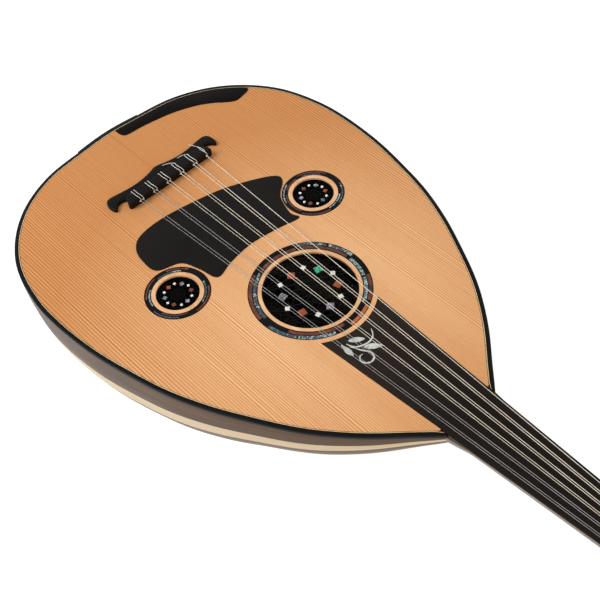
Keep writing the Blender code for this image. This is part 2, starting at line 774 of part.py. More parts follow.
def build_peg(peg, wood):
    """Tapered shaft, a turned collar and a flat finger grip, standing on the shaft's own axis."""
    side = peg_head_side(peg)
    half_width = pegbox_half_width(peg_along(peg))
    tip = -side * (half_width + 2.5 * MM)
    collar = side * (half_width + 2.0 * MM)
    rings = []
    for x, radius in (
        (tip, shaft_radius(peg, tip) - 0.5 * MM),
        (tip + side * 0.8 * MM, shaft_radius(peg, tip)),
        (collar, shaft_radius(peg, collar)),
        (collar + side * 0.3 * MM, 5.2 * MM),
        (collar + side * 2.2 * MM, 5.2 * MM),
        (collar + side * 4.0 * MM, 3.4 * MM),
        (collar + side * 9.0 * MM, 3.0 * MM),
    ):
        rings.append(turned_ring(x, radius))
    name = f"peg_{peg + 1:02d}"
    body = loft(name, rings, wood, smooth=True)
    grip_start = collar + side * 5.0 * MM
    widths = ((0.0, 3.2), (4.0, 7.0), (9.0, 10.2), (15.0, 10.8), (20.0, 8.6), (23.5, 4.2))
    rings = []
    for offset, half in widths:
        thick = 3.3 * MM - offset * 0.045 * MM
        wide = half * MM
        x = grip_start + side * offset * MM
        ring = []
        for share_wide, share_thick in ((1, 0.45), (0.55, 1), (-0.55, 1), (-1, 0.45),
                                        (-1, -0.45), (-0.55, -1), (0.55, -1), (1, -0.45)):
            ring.append(Vector((x, share_wide * wide, share_thick * thick)))
        rings.append(ring)
    grip = loft("grip", rings, wood)
    apply_boolean(body, grip, "UNION")
    body.location = pegbox_point(peg_along(peg), peg_level(peg_along(peg)))


def string_ends():
    """The x of each string at the bridge and at the nut, from the treble side to the bass side."""
    ends = []
    for course in range(COURSES):
        sides = (-1,) if course == COURSES - 1 else (-1, 1)
        for side in sides:
            at_bridge = COURSE_X_AT_BRIDGE + course * COURSE_PITCH_AT_BRIDGE + side * PAIR_HALF_GAP_AT_BRIDGE
            at_nut = COURSE_X_AT_NUT + course * COURSE_PITCH_AT_NUT + side * PAIR_HALF_GAP_AT_NUT
            ends.append((at_bridge, at_nut))
    return ends


def peg_of_string(string):
    """Outer strings go to the near pegs and inner strings to the far ones."""
    from_treble = string
    from_bass = STRING_COUNT - 1 - string
    if from_treble <= from_bass:
        return 2 * from_treble
    return 2 * from_bass + 1


def string_radius(string):
    share = string / (STRING_COUNT - 1)
    return THIN_STRING_RADIUS + (THICK_STRING_RADIUS - THIN_STRING_RADIUS) * share


def build_string(string, ends, material):
    """One string from the bridge, over the nut and down to the top of its peg."""
    at_bridge, at_nut = ends
    radius = string_radius(string)
    peg = peg_of_string(string)
    along = peg_along(peg)
    lane = at_nut * (pegbox_half_width(along) - PEGBOX_CHEEK - 3.2 * MM) / PEGBOX_HALF_WIDTH_NEAR
    shaft = shaft_radius(peg, lane) + radius + GAP
    landing = pegbox_point(along, peg_level(along) - shaft, lane)
    nut_z = NUT_TOP + GAP + radius
    route = [
        Vector((at_bridge, BRIDGE_FRONT_Y - 2 * GAP, STRING_Z_AT_BRIDGE)),
        Vector((at_nut, NUT_Y, nut_z)),
        Vector((at_nut, NUT_Y - NUT_LENGTH, nut_z)),
        landing,
    ]
    tube_along(f"string_{string + 1:02d}", route, radius, material)


def tube_along(name, route, radius, material):
    """A round tube whose rings stand across the route at each of its points."""
    rings = []
    for index, point in enumerate(route):
        before = route[max(index - 1, 0)]
        after = route[min(index + 1, len(route) - 1)]
        arriving = (point - before).normalized() if index else (after - point).normalized()
        leaving = (after - point).normalized() if index < len(route) - 1 else arriving
        along = (arriving + leaving).normalized()
        across = Vector((1.0, 0.0, 0.0))
        across = (across - along * across.dot(along)).normalized()
        up = across.cross(along)
        turns = [math.tau * (step + 0.5) / STRING_SIDES for step in range(STRING_SIDES)]
        rings.append([point + (across * math.cos(t) + up * math.sin(t)) * radius for t in turns])
    loft(name, rings, material, smooth=True)


# ---------------------------------------------------------------- whole instrument
def main():
    for item in list(bpy.data.objects):
        bpy.data.objects.remove(item)

    spruce = make_material("spruce", (0.66, 0.36, 0.17), 0.42)
    walnut = make_material("walnut", (0.17, 0.10, 0.055), 0.30)
    maple = make_material("maple", (0.62, 0.46, 0.30), 0.30)
    ebony = make_material("ebony", (0.022, 0.019, 0.017), 0.34)
    rosewood = make_material("rosewood", (0.16, 0.06, 0.03), 0.35)
    bone = make_material("bone", (0.80, 0.76, 0.65), 0.45)
    nylon = make_material("nylon", (0.82, 0.80, 0.74), 0.35)

    stations = bowl_stations()
    seams = rib_turns()
    build_ribs(stations, seams, (walnut, maple))
    build_end_blocks(stations, seams, spruce)
    build_binding(ebony)
    build_end_clasp(ebony)
    build_soundboard(spruce)
    build_sound_holes(ebony, rosewood)
    build_braces(stations, spruce)
    build_pickguard(ebony)
    build_arm_guard(ebony)
    build_bridge(ebony)
    build_fingerboard(ebony)
    build_neck(stations, walnut)
    build_nut(bone)

    floor_level = min(vertex.co.z for item in bpy.data.objects for vertex in item.data.vertices)
    build_pegbox(floor_level, walnut)
    for peg in range(STRING_COUNT):
        build_peg(peg, ebony)
    for string, ends in enumerate(string_ends()):
        build_string(string, ends, nylon)

    bpy.context.view_layer.update()
    corners = [item.matrix_world @ vertex.co for item in bpy.data.objects for vertex in item.data.vertices]
    middle_x = 0.5 * (min(c.x for c in corners) + max(c.x for c in corners))
    middle_y = 0.5 * (min(c.y for c in corners) + max(c.y for c in corners))
    shift = Vector((-middle_x, -middle_y, -min(c.z for c in corners)))
    for item in bpy.data.objects:
        item.location += shift


main()
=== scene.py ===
"""Looks of the eleven-string oud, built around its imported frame.

Shapes are worked out about the centre of the large sound hole, on the soundboard's top face, with +X the
bass side, +Y the tail and +Z up. ORIGIN moves them into the frame. Lengths are in metres.
"""
import math

import bpy
import bmesh
from mathutils import Euler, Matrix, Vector


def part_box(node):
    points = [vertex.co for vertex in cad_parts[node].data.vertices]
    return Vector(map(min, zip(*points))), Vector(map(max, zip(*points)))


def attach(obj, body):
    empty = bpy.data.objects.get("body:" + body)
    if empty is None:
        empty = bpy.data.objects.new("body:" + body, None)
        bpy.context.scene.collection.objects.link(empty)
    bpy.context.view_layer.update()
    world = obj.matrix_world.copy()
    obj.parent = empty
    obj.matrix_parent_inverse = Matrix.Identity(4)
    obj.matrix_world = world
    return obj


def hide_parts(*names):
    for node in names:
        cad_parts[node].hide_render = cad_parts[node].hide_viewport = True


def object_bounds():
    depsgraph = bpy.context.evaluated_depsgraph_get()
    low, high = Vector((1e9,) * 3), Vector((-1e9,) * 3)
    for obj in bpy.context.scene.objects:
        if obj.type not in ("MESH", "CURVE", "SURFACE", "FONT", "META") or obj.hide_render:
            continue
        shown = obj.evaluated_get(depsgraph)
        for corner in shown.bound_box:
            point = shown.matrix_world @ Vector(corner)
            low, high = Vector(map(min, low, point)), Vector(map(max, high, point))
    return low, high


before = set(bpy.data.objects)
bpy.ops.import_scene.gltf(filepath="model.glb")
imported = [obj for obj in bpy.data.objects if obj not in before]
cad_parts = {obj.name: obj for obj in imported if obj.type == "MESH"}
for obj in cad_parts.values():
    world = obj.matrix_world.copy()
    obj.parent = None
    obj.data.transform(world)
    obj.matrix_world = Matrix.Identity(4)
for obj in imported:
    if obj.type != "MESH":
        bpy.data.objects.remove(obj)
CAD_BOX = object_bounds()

MM = 0.001
RING_LOW, RING_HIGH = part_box("ring_main")
ORIGIN = Vector((0.5 * (RING_LOW.x + RING_HIGH.x), 0.5 * (RING_LOW.y + RING_HIGH.y), RING_HIGH.z))
R = 0.5 * (RING_HIGH.x - RING_LOW.x)

# ---------------------------------------------------------------- dimensions, most of them the frame's own
GAP = 0.3 * MM
BODY_CENTRE_Y = 109 * MM
BODY_EDGE = (
    (-10, 203), (0, 202.5), (11, 203.4), (24, 210.5), (38, 213.5), (54, 209), (69, 198), (85, 187.6),
    (98, 184.4), (110, 186.1), (122, 194), (133, 205), (144, 221), (156, 247.2), (164, 267.6), (170, 285.2),
    (175.8, 307.5),
)
NECK_JOINT_ANGLE = 174.2
TAIL_OPENING_ANGLE = 5.0
SOUNDBOARD_THICKNESS = 2.0 * MM
BINDING_HEIGHT = 3.2 * MM
RIB_THICKNESS = 2.8 * MM
RIB_COUNT = 17
WIDE_TO_NARROW_RIB = 1.5
DEPTH_SHARE = 0.905
DEPTH_SHARE_PER_METRE = 0.957
LEAST_DEPTH_SHARE = 0.85
DEPTH_LIMIT = 196 * MM
DEPTH_LIMIT_SHARPNESS = 16
SECTION_POWER = 2.28
BRIDGE_FRONT_Y = 200.5 * MM
BRIDGE_CENTRE_X = 1.4 * MM
BRIDGE_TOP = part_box("bridge")[1].z - ORIGIN.z
BRIDGE_BLOCK_TOP = BRIDGE_TOP - 1.1 * MM
BRIDGE_WING_TOP = 3.8 * MM
SCALE_LENGTH = 585 * MM
NUT_LENGTH = 5.0 * MM
NUT_Y = BRIDGE_FRONT_Y - SCALE_LENGTH
FINGERBOARD_HALF_WIDTH = 38.6 * MM
FINGERBOARD_TAPER = 0.0531
FINGERBOARD_END_RADIUS = 62 * MM
NECK_OVERHANG = 0.3 * MM
NECK_SECTION_POWER = 1.7
HEEL_LENGTH = 22 * MM
NECK_DEPTH_AT_NUT = 24 * MM
PEGBOX_TILT = math.radians(55)
PEGBOX_LENGTH = 213 * MM
PEGBOX_CHEEK = 4.2 * MM
PEGBOX_FLOOR = 4 * MM
PEGBOX_HALF_WIDTH = 19.8 * MM
PEGBOX_NARROWING = 6.3 * MM
PEGBOX_DEPTH = 25 * MM
PEGBOX_THINNING = 6 * MM
FIRST_PEG = 27 * MM
FIRST_PEG_LEVEL = 11.5 * MM
PEG_LEVEL_RISE = 3.1 * MM
SHAFT_RADIUS = 3.4 * MM
SHAFT_TAPER = 0.8 * MM
SHAFT_HALF_LENGTH = 23.8 * MM
PEG_PITCH = 15.6 * MM
STRING_COUNT = 11
STRING_RADII = (0.17 * MM, 0.31 * MM)
PLAIN_STRINGS = 4
WINDING_TURNS = 5
WINDING_PITCH = 2.06
WINDING_STEPS = 20
LANDING_TURN = 2.2
STRING_LEVEL = 5.5 * MM
STRING_LEVEL_AT_NUT = 1.8 * MM
MAIN_HOLE_RADIUS = 44.6 * MM
SMALL_HOLE_RADIUS = 20.5 * MM
BINDING_WIDTH = 4.2 * MM
PURFLING_DEPTH = 1.2 * MM
LIGHT_LINE_END = 4.74 * MM
DARK_LINE_END = 5.22 * MM
SOUNDBOARD_INSET = 5.25 * MM
INLAY_DEPTH = 0.6 * MM
SHIM = 0.02 * MM
FLOOR_LEVEL = CAD_BOX[0].z - ORIGIN.z
WIDEST = CAD_BOX[1].x - ORIGIN.x


# ---------------------------------------------------------------- node materials
def srgb(red, green, blue):
    """A colour given as it looks on a screen, 0 to 255, as the shader wants it."""
    def linear(value):
        share = value / 255
        return share / 12.92 if share <= 0.04045 else ((share + 0.055) / 1.055) ** 2.4
    return (linear(red), linear(green), linear(blue), 1.0)


class Finish:
    """A node material in the making. Plain numbers go on the shader's own sockets."""

    def __init__(self, name, **sockets):
        self.material = bpy.data.materials.new(name)
        self.material.use_nodes = True
        self.tree = self.material.node_tree
        self.shader = self.tree.nodes["Principled BSDF"]
        for key, value in sockets.items():
            self.shader.inputs[key.replace("_", " ")].default_value = value

    def node(self, kind, inputs=(), **settings):
        made = self.tree.nodes.new(kind)
        for key, value in settings.items():
            setattr(made, key, value)
        for key, value in dict(inputs).items():
            if isinstance(value, bpy.types.NodeSocket):
                self.tree.links.new(value, made.inputs[key])
            else:
                made.inputs[key].default_value = value
        return made

    def math(self, operation, first, second=0.0):
        return self.node("ShaderNodeMath", {0: first, 1: second}, operation=operation).outputs[0]

    def times(self, first, second):
        return self.math("MULTIPLY", first, second)

    def plus(self, first, second):
        return self.math("ADD", first, second)

    def minus(self, first, second):
        return self.math("SUBTRACT", first, second)

    def warp(self, base, noise, reach):
        """A coordinate moved to and fro by noise, by half of reach each way."""
        return self.plus(base, self.times(self.minus(noise, 0.5), reach))

    def grey(self, value):
        return self.node("ShaderNodeCombineXYZ", {0: value, 1: value, 2: value}).outputs[0]

    def place(self):
        """X, Y and Z of the point on the object."""
        split = self.node("ShaderNodeSeparateXYZ", {0: self.node("ShaderNodeTexCoord").outputs["Object"]})
        return split.outputs

    def grain_place(self):
        """Along, across and through the grain, as the mesh says at each point."""
        stored = self.node("ShaderNodeAttribute", attribute_name="grain").outputs["Vector"]
        return self.node("ShaderNodeSeparateXYZ", {0: stored}).outputs

    def stretched(self, place, scales, detail=2.0, roughness=0.5):
        """Noise with its own scale along each of three directions."""
        parts = [self.times(socket, scale) for socket, scale in zip(place, scales)]
        vector = self.node("ShaderNodeCombineXYZ", dict(enumerate(parts))).outputs[0]
        return self.node("ShaderNodeTexNoise", {"Vector": vector, "Scale": 1.0, "Detail": detail,
                                                "Roughness": roughness}).outputs["Fac"]

    def ramp(self, factor, stops):
        made = self.node("ShaderNodeValToRGB", {0: factor})
        made.color_ramp.interpolation = "EASE"
        elements = made.color_ramp.elements
        while len(elements) < len(stops):
            elements.new(0.5)
        for element, (position, colour) in zip(elements, stops):
            element.position = position
            element.color = colour
        return made.outputs["Color"]

    def level(self, factor, low, high, out_low=0.0, out_high=1.0):
        inputs = {0: factor, 1: low, 2: high, 3: out_low, 4: out_high}
        return self.node("ShaderNodeMapRange", inputs).outputs[0]

    def mix(self, factor, first, second, blend="MIX"):
        inputs = {0: factor, 6: first, 7: second}
        return self.node("ShaderNodeMix", inputs, data_type="RGBA", blend_type=blend).outputs[2]

    def set(self, key, socket):
        self.tree.links.new(socket, self.shader.inputs[key])

    def bump(self, height, strength, depth):
        made = self.node("ShaderNodeBump", {"Height": height, "Strength": strength, "Distance": depth})
        self.set("Normal", made.outputs[0])


LINES_PER_METRE = 600.0
LINES_LOST_OUTWARDS = 740.0


def spruce_top():
    """Straight close-grained spruce, mirrored about its centre joint, under thin lacquer, with a painted
    highlight: a soft pool of light painted on the neck side of the large sound hole.
    """
    finish = Finish("spruce_top", Specular_IOR_Level=0.16, Coat_Weight=0.05, Coat_Roughness=0.3)
    x, y, z = finish.place()
    side = finish.math("ABSOLUTE", x)
    wander = finish.stretched((x, y, z), (9, 2.2, 1), 2)
    across = finish.warp(side, wander, 5 * MM)
    spacing = finish.stretched((across, z, z), (26, 1, 1), 2)
    across = finish.plus(across, finish.times(spacing, 11 * MM))
    across = finish.warp(across, finish.stretched((across, y, z), (240, 1.5, 1), 2), 1.7 * MM)
    per_metre = finish.minus(LINES_PER_METRE, finish.times(across, LINES_LOST_OUTWARDS))
    wave = finish.math("SINE", finish.times(finish.times(across, per_metre), math.tau))
    line = finish.level(wave, -0.6, 0.6, -0.5, 0.5)
    streak = finish.stretched((across, y, z), (110, 2.0, 1), 4, 0.7)
    strength = finish.level(streak, 0.36, 0.64, 0.3, 0.9)
    treble = finish.level(x, 0.07, -0.05, 0.8, 1.0)
    late = finish.times(finish.times(line, strength), treble)
    late = finish.plus(late, 0.5)
    fibre = finish.stretched((x, y, z), (2600, 130, 1), 2)
    silk = finish.stretched((x, y, z), (140, 2400, 1), 2)
    broad = finish.stretched((across, y, z), (34, 3.2, 1), 3)
    # Painted highlight: both shades of the spruce are painted lighter in a broad soft pool centred just on
    # the neck side of the large sound hole, fading to the plain wood colour further out. This stands in for
    # studio light falling on the soundboard.
    far = finish.minus(y, ORIGIN.y - 0.5 * R)
    painted_light_squares = finish.plus(finish.times(far, far), finish.times(x, x))
    near = finish.level(finish.math("SQRT", painted_light_squares), 1.2 * R, 4.4 * R, 1.0, 0.0)
    base = finish.mix(near, srgb(230, 163, 102), srgb(255, 207, 155))
    dark = finish.mix(near, srgb(170, 104, 52), srgb(208, 146, 92))
    wood = finish.mix(late, base, dark)
    patch = finish.level(broad, 0.34, 0.70)
    wood = finish.mix(finish.times(patch, 0.28), wood, srgb(200, 130, 74))
    shine = finish.level(finish.plus(fibre, silk), 0.7, 1.3, 0.93, 1.06)
    wood = finish.mix(1.0, wood, finish.grey(shine), "MULTIPLY")
    finish.set("Base Color", wood)
    finish.set("Roughness", finish.level(late, 0.0, 1.0, 0.5, 0.42))
    finish.bump(finish.plus(finish.times(late, -0.5), fibre), 0.18, 0.1 * MM)
    return finish.material


def wood(name, shades, figure, pores, rough, coat, specular, lines, from_mesh=False, swap=False):
    """Cabinet wood: broad figure, fine fibres and short dark pores along the grain."""
    finish = Finish(name, Specular_IOR_Level=specular, Coat_Weight=coat, Coat_Roughness=0.08)
    light, middle, dark = [srgb(*shade) for shade in shades]
    if from_mesh:
        along, across, through = finish.grain_place()
    else:
        x, y, z = finish.place()
        along, across, through = (x, y, z) if swap else (y, x, z)
    place = (along, across, through)
    bend = finish.stretched(place, (5, 18, 18), 2)
    bent = finish.warp(across, bend, 14 * MM)
    bands = finish.stretched((along, bent, through), (1.6, figure, figure), 5, 0.6)
    fibre = finish.stretched(place, (22, 1500, 1500), 3, 0.6)
    pore = finish.level(finish.stretched(place, (85, 2600, 2600), 1), 0.60, 0.72)
    shade = finish.ramp(bands, ((0.30, dark), (0.5, middle), (0.70, light)))
    tone = finish.level(fibre, 0.25, 0.75, 0.82, 1.12)
    shade = finish.mix(1.0, shade, finish.grey(tone), "MULTIPLY")
    streak = finish.stretched((along, bent, through), (0.8, figure * 7, figure * 2), 2)
    shade = finish.mix(finish.times(finish.level(streak, 0.5, 0.62), lines), shade, dark)
    deep = tuple(0.35 * channel for channel in dark[:3]) + (1.0,)
    shade = finish.mix(finish.times(pore, pores), shade, deep)
    finish.set("Base Color", shade)
    finish.set("Roughness", finish.level(fibre, 0.3, 0.7, *rough))
    finish.bump(finish.minus(fibre, finish.times(pore, 1.5)), 0.12, 0.1 * MM)
    return finish.material


def shell(name, stops, scale, tinted=False):
    """Abalone or mother-of-pearl: folded bands of colour between dark seams, polished."""
    finish = Finish(name, Roughness=0.18, Coat_Weight=0.5, Coat_Roughness=0.08, Specular_IOR_Level=0.5)
    x, y, z = finish.place()
    fold = finish.stretched((x, y, z), (scale * 0.35, scale * 0.35, scale), 4, 0.65)
    flow = finish.stretched((y, x, z), (scale * 1.3, scale * 0.5, scale), 3, 0.6)
    value = finish.plus(finish.times(fold, 0.65), finish.times(flow, 0.5))
    if tinted:
        tint = finish.node("ShaderNodeAttribute", attribute_name="tint").outputs["Fac"]
        value = finish.math("FRACT", finish.plus(finish.times(value, 2.4), tint))
    colour = finish.ramp(value, [(position, srgb(*shade)) for position, shade in stops])
    seam = finish.level(finish.stretched((x, y, z), (scale * 0.8, scale * 0.8, scale), 2), 0.56, 0.68)
    colour = finish.mix(finish.times(seam, 0.45), colour, srgb(40, 62, 60))
    finish.set("Base Color", colour)
    finish.bump(flow, 0.15, 0.1 * MM)
    return finish.material


def string_finish(name, colour, dark, roughness):
    """String with the fine turns of its winding."""
    finish = Finish(name, Roughness=roughness, Specular_IOR_Level=0.5)
    x, y, z = finish.place()
    turns = finish.math("SINE", finish.times(finish.plus(y, z), math.tau / (0.35 * MM)))
    wear = finish.stretched((x, y, z), (60, 30, 60), 3)
    finish.set("Base Color", finish.mix(finish.level(wear, 0.35, 0.7), srgb(*colour), srgb(*dark)))
    finish.bump(turns, 0.25, 0.05 * MM)
    return finish.material


def polished_black(name, colour, fleck, specular, roughness, far=None):
    """Ebony or black lacquer with faint fibres and soft polish marks; far is its shade towards the nut."""
    finish = Finish(name, Specular_IOR_Level=specular)
    x, y, z = finish.place()
    fibre = finish.stretched((x, y, z), (1300, 38, 900), 3, 0.6)
    cloud = finish.stretched((x, y, z), (35, 9, 35), 3)
    mark = finish.times(finish.level(fibre, 0.42, 0.75), finish.level(cloud, 0.3, 0.7))
    shade = finish.mix(mark, srgb(*colour), srgb(*fleck))
    if far:
        away = finish.level(y, ORIGIN.y - 1.6 * R, ORIGIN.y - 3.2 * R)
        shade = finish.mix(away, shade, srgb(*far))
    finish.set("Base Color", shade)
    finish.set("Roughness", finish.level(cloud, 0.3, 0.7, roughness - 0.05, roughness + 0.07))
    finish.bump(fibre, 0.12, 0.06 * MM)
    return finish.material


SPRUCE_TOP = spruce_top()
WALNUT = wood("walnut_rib", ((108, 79, 52), (82, 57, 35), (50, 33, 20)), 46, 0.45, (0.34, 0.48),
              0.0, 0.14, 0.35, from_mesh=True)
MAPLE = wood("maple_rib", ((216, 194, 160), (202, 178, 142), (180, 152, 116)), 70, 0.12, (0.34, 0.46),
             0.0, 0.14, 0.2, from_mesh=True)
NECK_WALNUT = wood("walnut_neck", ((96, 72, 54), (70, 51, 38), (40, 29, 22)), 55, 0.5, (0.3, 0.42),
                   0.25, 0.45, 0.4)
ROSEWOOD = wood("rosewood", ((142, 78, 52), (104, 52, 34), (52, 24, 18)), 160, 0.35, (0.25, 0.35),
                0.3, 0.45, 0.4)
PALE_WOOD = wood("pale_wood", ((244, 198, 152), (234, 182, 134), (214, 158, 110)), 120, 0.1, (0.35, 0.45),
                 0.1, 0.35, 0.2)
INNER_SPRUCE = wood("inner_spruce", ((224, 188, 142), (208, 168, 122), (180, 138, 94)), 160, 0.1,
                    (0.6, 0.75), 0.0, 0.3, 0.5, swap=True)
BRIDGE_WOOD = wood("bridge_wood", ((26, 18, 15), (17, 13, 11), (9, 7, 6)), 90, 0.3, (0.4, 0.52),
                   0.0, 0.12, 0.3, swap=True)
ORANGE_WOOD = wood("orange_wood", ((214, 132, 74), (190, 106, 54), (150, 76, 36)), 140, 0.25, (0.3, 0.4),
                   0.2, 0.4, 0.3)
LIGHT_LINE = wood("light_line", ((250, 226, 180), (240, 212, 162), (222, 190, 140)), 200, 0.1, (0.4, 0.5),
                  0.0, 0.3, 0.2)
VENEER = wood("veneer", ((178, 160, 138), (158, 140, 118), (128, 110, 90)), 160, 0.15, (0.4, 0.5),
              0.0, 0.3, 0.2)
BONE = wood("bone", ((238, 230, 208), (228, 218, 194), (206, 194, 166)), 90, 0.1, (0.3, 0.42),
            0.1, 0.45, 0.1, swap=True)
EBONY = polished_black("ebony", (27, 24, 22), (42, 37, 33), 0.25, 0.36)
BLACK_EDGE = polished_black("black_edge", (13, 12, 12), (23, 22, 22), 0.15, 0.32)
BLACK_PLATE = polished_black("black_plate", (24, 22, 20), (32, 30, 27), 0.08, 0.5)
ARM_PLATE = polished_black("arm_plate", (15, 12, 11), (22, 19, 17), 0.06, 0.48)
BOARD_EBONY = polished_black("board_ebony", (38, 29, 24), (56, 45, 38), 0.10, 0.5, far=(28, 22, 18))
LATTICE = polished_black("lattice_black", (5, 4, 4), (11, 10, 10), 0.13, 0.28)
DARK_LINE = polished_black("dark_line", (28, 21, 17), (40, 31, 26), 0.2, 0.4)
NYLON = string_finish("nylon", (176, 174, 170), (150, 148, 144), 0.32)
WOUND = string_finish("wound", (238, 229, 208), (208, 198, 178), 0.34)
KNOT = string_finish("knot", (236, 232, 220), (214, 208, 194), 0.36)
ABALONE = shell("abalone", (
    (0.00, (22, 50, 62)), (0.15, (40, 96, 92)), (0.26, (170, 204, 192)), (0.36, (34, 66, 84)),
    (0.52, (78, 90, 112)), (0.62, (206, 216, 210)), (0.72, (38, 88, 72)), (0.87, (58, 64, 80)),
    (1.00, (72, 66, 90))), 420, tinted=True)
PEARL = shell("pearl", ((0.35, (170, 176, 172)), (0.55, (206, 208, 200)), (0.75, (232, 230, 220))), 420)
WHITE_PEARL = shell("white_pearl", ((0.35, (214, 210, 200)), (0.55, (240, 238, 230)),
                                    (0.75, (250, 248, 242))), 500)
STONE_SHADES = {
    "amber": ((198, 104, 52), (164, 76, 36), (112, 48, 26)),
    "brown": ((150, 82, 58), (116, 60, 42), (84, 44, 34)),
    "green": ((16, 92, 66), (60, 190, 142), (14, 62, 52)),
    "grey": ((160, 166, 168), (62, 68, 74), (206, 212, 210)),
    "teal": ((96, 128, 132), (62, 92, 98), (140, 160, 158)),
    "lilac": ((164, 156, 184), (108, 98, 130), (204, 196, 212)),
}
STONES = {
    colour: shell(f"stone_{colour}", [(0.3 + 0.22 * step, shade) for step, shade in enumerate(shades)], 950)
    for colour, shades in STONE_SHADES.items()
}


# ---------------------------------------------------------------- mesh making
class Piece:
    """Points and faces of one piece, which may hold several closed solids."""

    def __init__(self):
        self.points = []
        self.faces = []
        self.grain = []
        self.tint = []

    def add(self, points, faces, tint=0.0, grain=None):
        shift = len(self.points)
        self.points += [Vector(point) for point in points]
        self.faces += [tuple(index + shift for index in face) for face in faces]
        self.tint += [tint] * len(points)
        self.grain += grain or [(0.0, 0.0, 0.0)] * len(points)
        return self

    def loft(self, rings, tint=0.0, closed=False, grain=None):
        """A solid skinned over rings with the same number of points; closed joins the last to the first."""
        count = len(rings[0])
        points = [point for ring in rings for point in ring]
        faces = []
        for row in range(len(rings) if closed else len(rings) - 1):
            above = (row + 1) % len(rings) * count
            for column in range(count):
                following = (column + 1) % count
                here = row * count
                faces.append((here + column, here + following, above + following, above + column))
        if not closed:
            faces += [tuple(range(count)), tuple(range(len(points) - count, len(points)))]
        return self.add(points, faces, tint, grain)

    def plate(self, outline, z_low, z_high, rounding=0.0, steps=3):
        """A flat plate whose top edge may be rounded."""
        rings = [[(x, y, z_low) for x, y in outline]]
        if rounding:
            for step in range(steps + 1):
                turn = 0.5 * math.pi * step / steps
                inset = rounding * (1 - math.cos(turn))
                level = z_high - rounding * (1 - math.sin(turn))
                rings.append([(x, y, level) for x, y in inset_outline(outline, inset)])
        else:
            rings.append([(x, y, z_high) for x, y in outline])
        return self.loft(rings)

    def sector(self, centre, r_in, r_out, start, end, z_low, z_high, tint=0.0):
        """Part of a flat ring between two angles in degrees, or all of it."""
        whole = end - start >= 360
        steps = max(3, int((end - start) / 2.5))
        rings = []
        for step in range(steps + (0 if whole else 1)):
            turn = math.radians(start + (end - start) * step / steps)
            cos, sin = math.cos(turn), math.sin(turn)
            rings.append([(centre[0] + r * cos, centre[1] + r * sin, z)
                          for r, z in ((r_out, z_high), (r_out, z_low), (r_in, z_low), (r_in, z_high))])
        return self.loft(rings, tint, closed=whole)

    def tube(self, path, radius, sides):
        """A round tube along a path."""
        path = [Vector(point) for point in path]
        across = path_direction(path, 0).orthogonal().normalized()
        rings = []
        for index, point in enumerate(path):
            along = path_direction(path, index)
            across = (across - along * across.dot(along)).normalized()
            up = along.cross(across)
            rings.append([point + (across * math.cos(t) + up * math.sin(t)) * radius
                          for t in turns_round(sides)])
        return self.loft(rings)

    def make(self, name, material, slot, body="root", replaces=(), angle=35.0, centre=None):
        """The finished object, riding on its body."""
        centre = centre or Vector((0.0, 0.0, 0.0))
        mesh = bpy.data.meshes.new(name)
        mesh.from_pydata([point + ORIGIN - centre for point in self.points], [], self.faces)
        build = bmesh.new()
        build.from_mesh(mesh)
        bmesh.ops.recalc_face_normals(build, faces=build.faces)
        build.to_mesh(mesh)
        build.free()
        if any(any(entry) for entry in self.grain):
            stored = mesh.attributes.new("grain", "FLOAT_VECTOR", "POINT")
            stored.data.foreach_set("vector", [value for entry in self.grain for value in entry])
        if any(self.tint):
            stored = mesh.attributes.new("tint", "FLOAT", "POINT")
            stored.data.foreach_set("value", self.tint)
        mesh.shade_smooth()
        mesh.set_sharp_from_angle(angle=math.radians(angle))
        mesh.materials.append(material)
        item = bpy.data.objects.new(name, mesh)
        bpy.context.scene.collection.objects.link(item)
        item.location = centre
        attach(item, body)
        if replaces:
            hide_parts(*replaces)
        return item


def turns_round(sides):
    """Equal turns round a whole circle, in radians."""
    return [math.tau * side / sides for side in range(sides)]


def path_direction(path, index):
    return (path[min(index + 1, len(path) - 1)] - path[max(index - 1, 0)]).normalized()


def sideways(along):
    """The direction at a right angle to another in plan."""
    return Vector((-along.y, along.x))


def disc(axis, x, radius, sides):
    """Points round a peg's axis at a distance x along it."""
    return [axis + Vector((x, radius * math.cos(t), radius * math.sin(t))) for t in turns_round(sides)]


def inset_outline(outline, inset):
    """A closed outline moved inwards, for small distances."""
    count = len(outline)
    area = sum(outline[i][0] * outline[(i + 1) % count][1] - outline[(i + 1) % count][0] * outline[i][1]
               for i in range(count))
    sign = 1.0 if area > 0 else -1.0
    moved = []
    for index in range(count):
        here = Vector(outline[index])
        before = here - Vector(outline[index - 1])
        after = Vector(outline[(index + 1) % count]) - here
        normals = [sideways(edge).normalized() * sign for edge in (before, after)]
        middle = normals[0] + normals[1]
        if middle.length < 1e-6:
            middle = normals[0]
        middle.normalize()
        moved.append(tuple(here + middle * inset / max(0.45, middle.dot(normals[0]))))
    return moved


def catmull_rom(before, start, end, after, share):
    """A place between start and end on the smooth curve through all four."""
    square = share * share
    cube = square * share
    return 0.5 * (2 * start + (end - before) * share + (2 * before - 5 * start + 4 * end - after) * square
                  + (3 * start - before - 3 * end + after) * cube)


def smooth(points, steps, closed=True):
    """A smooth line through a few points, in two or three dimensions."""
    count = len(points)
    line = []
    for index in range(count if closed else count - 1):
        places = range(index - 1, index + 3)
        around = [points[place % count if closed else min(max(place, 0), count - 1)] for place in places]
        for step in range(steps):
            line.append(tuple(catmull_rom(*(p[axis] for p in around), step / steps)
                              for axis in range(len(points[0]))))
    if not closed:
        line.append(tuple(points[-1]))
    return line


